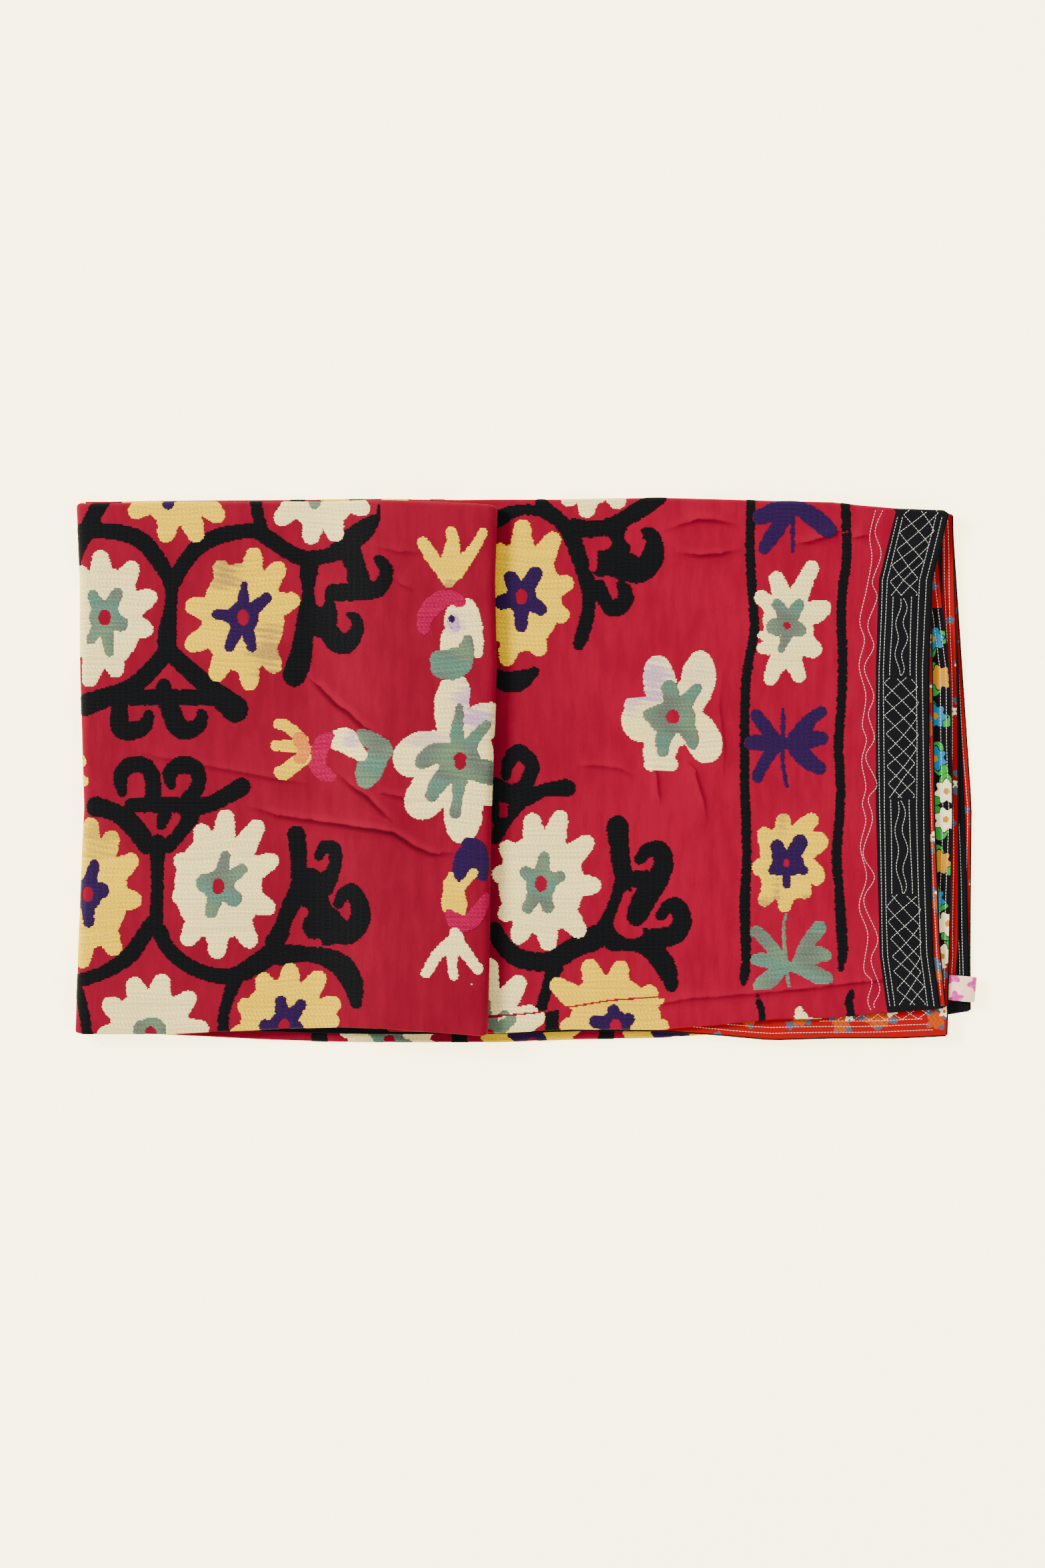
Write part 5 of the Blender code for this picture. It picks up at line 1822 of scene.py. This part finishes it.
add_floor()
band_cloth = black_cotton()
whole = joined(
    end_places(PANEL_END, "panel", BAND_STEPS),
    path_places(*COARSE_PATH),
    end_places(UNDER_END, "under", BAND_STEPS[::-1]),
)
panel_band = end_places(PANEL_END, "panel", np.linspace(0, BAND_WIDTH, 30))
under_band = end_places(UNDER_END, "under", np.linspace(0, BAND_WIDTH, 12))
for name, node, place, cross, offsets, material, slot, relief in (
    ("red_ground", "ground_cloth", path_places(4.4, 4.5, 32, 8), lines(FINE, BAND_WIDTH + SEAM), FACE,
     red_cotton(), "ground_cloth", top_relief),
    ("printed_lining", "lining", whole, lines(PLAIN), BACK, lining_print(), "lining_print", None),
    ("quilted_band_panel_end", "border_band_panel_end", panel_band, lines(BAND), FACE,
     band_cloth, "border_band", band_top),
    ("quilted_band_under_end", "border_band_under_end", under_band, lines(PLAIN), FACE,
     band_cloth, "border_band", None),
):
    add_cloth(name, node, place, cross, offsets, material, relief)
add_side_band("quilted_band_inner_side", "border_band_inner_side", "3", band_cloth)
add_side_band("quilted_band_outer_side", "border_band_outer_side", "4", band_cloth)
add_loop(loop_print())
add_piping(band_cloth, lines(PLAIN), whole)
add_quilting(stitch_thread())

flap, panel = chart_flap(), chart_panel()
flap_kept, panel_kept = visible("flap", flap), visible("panel", panel)
behind = flap.s[None, :] < LEFT_X - BEHIND_FROM
for yarn_name in YARN_NAMES[1:]:
    material = yarn(yarn_name + "_yarn", *YARN_SHINE.get(yarn_name, (0.7, 0.08)))
    flap_strands = strands(flap, "flap", yarn_name, STRAND_STEP, flap_kept & ~behind)
    panel_strands = strands(panel, "panel", yarn_name, STRAND_STEP, panel_kept)
    under_strands = strands(flap, "flap", yarn_name, UNDER_STRAND_STEP, flap_kept & behind)
    add_embroidery(f"embroidery_{yarn_name}", material, flap_strands, panel_strands)
    add_embroidery(f"embroidery_{yarn_name}_underside", material, under_strands)

add_world()
add_light("key", (-5.4, 2.6, 4.6), 2.4, 1290)
add_light("fill", (2.6, -1.2, 3.0), 2.6, 125)
add_camera()
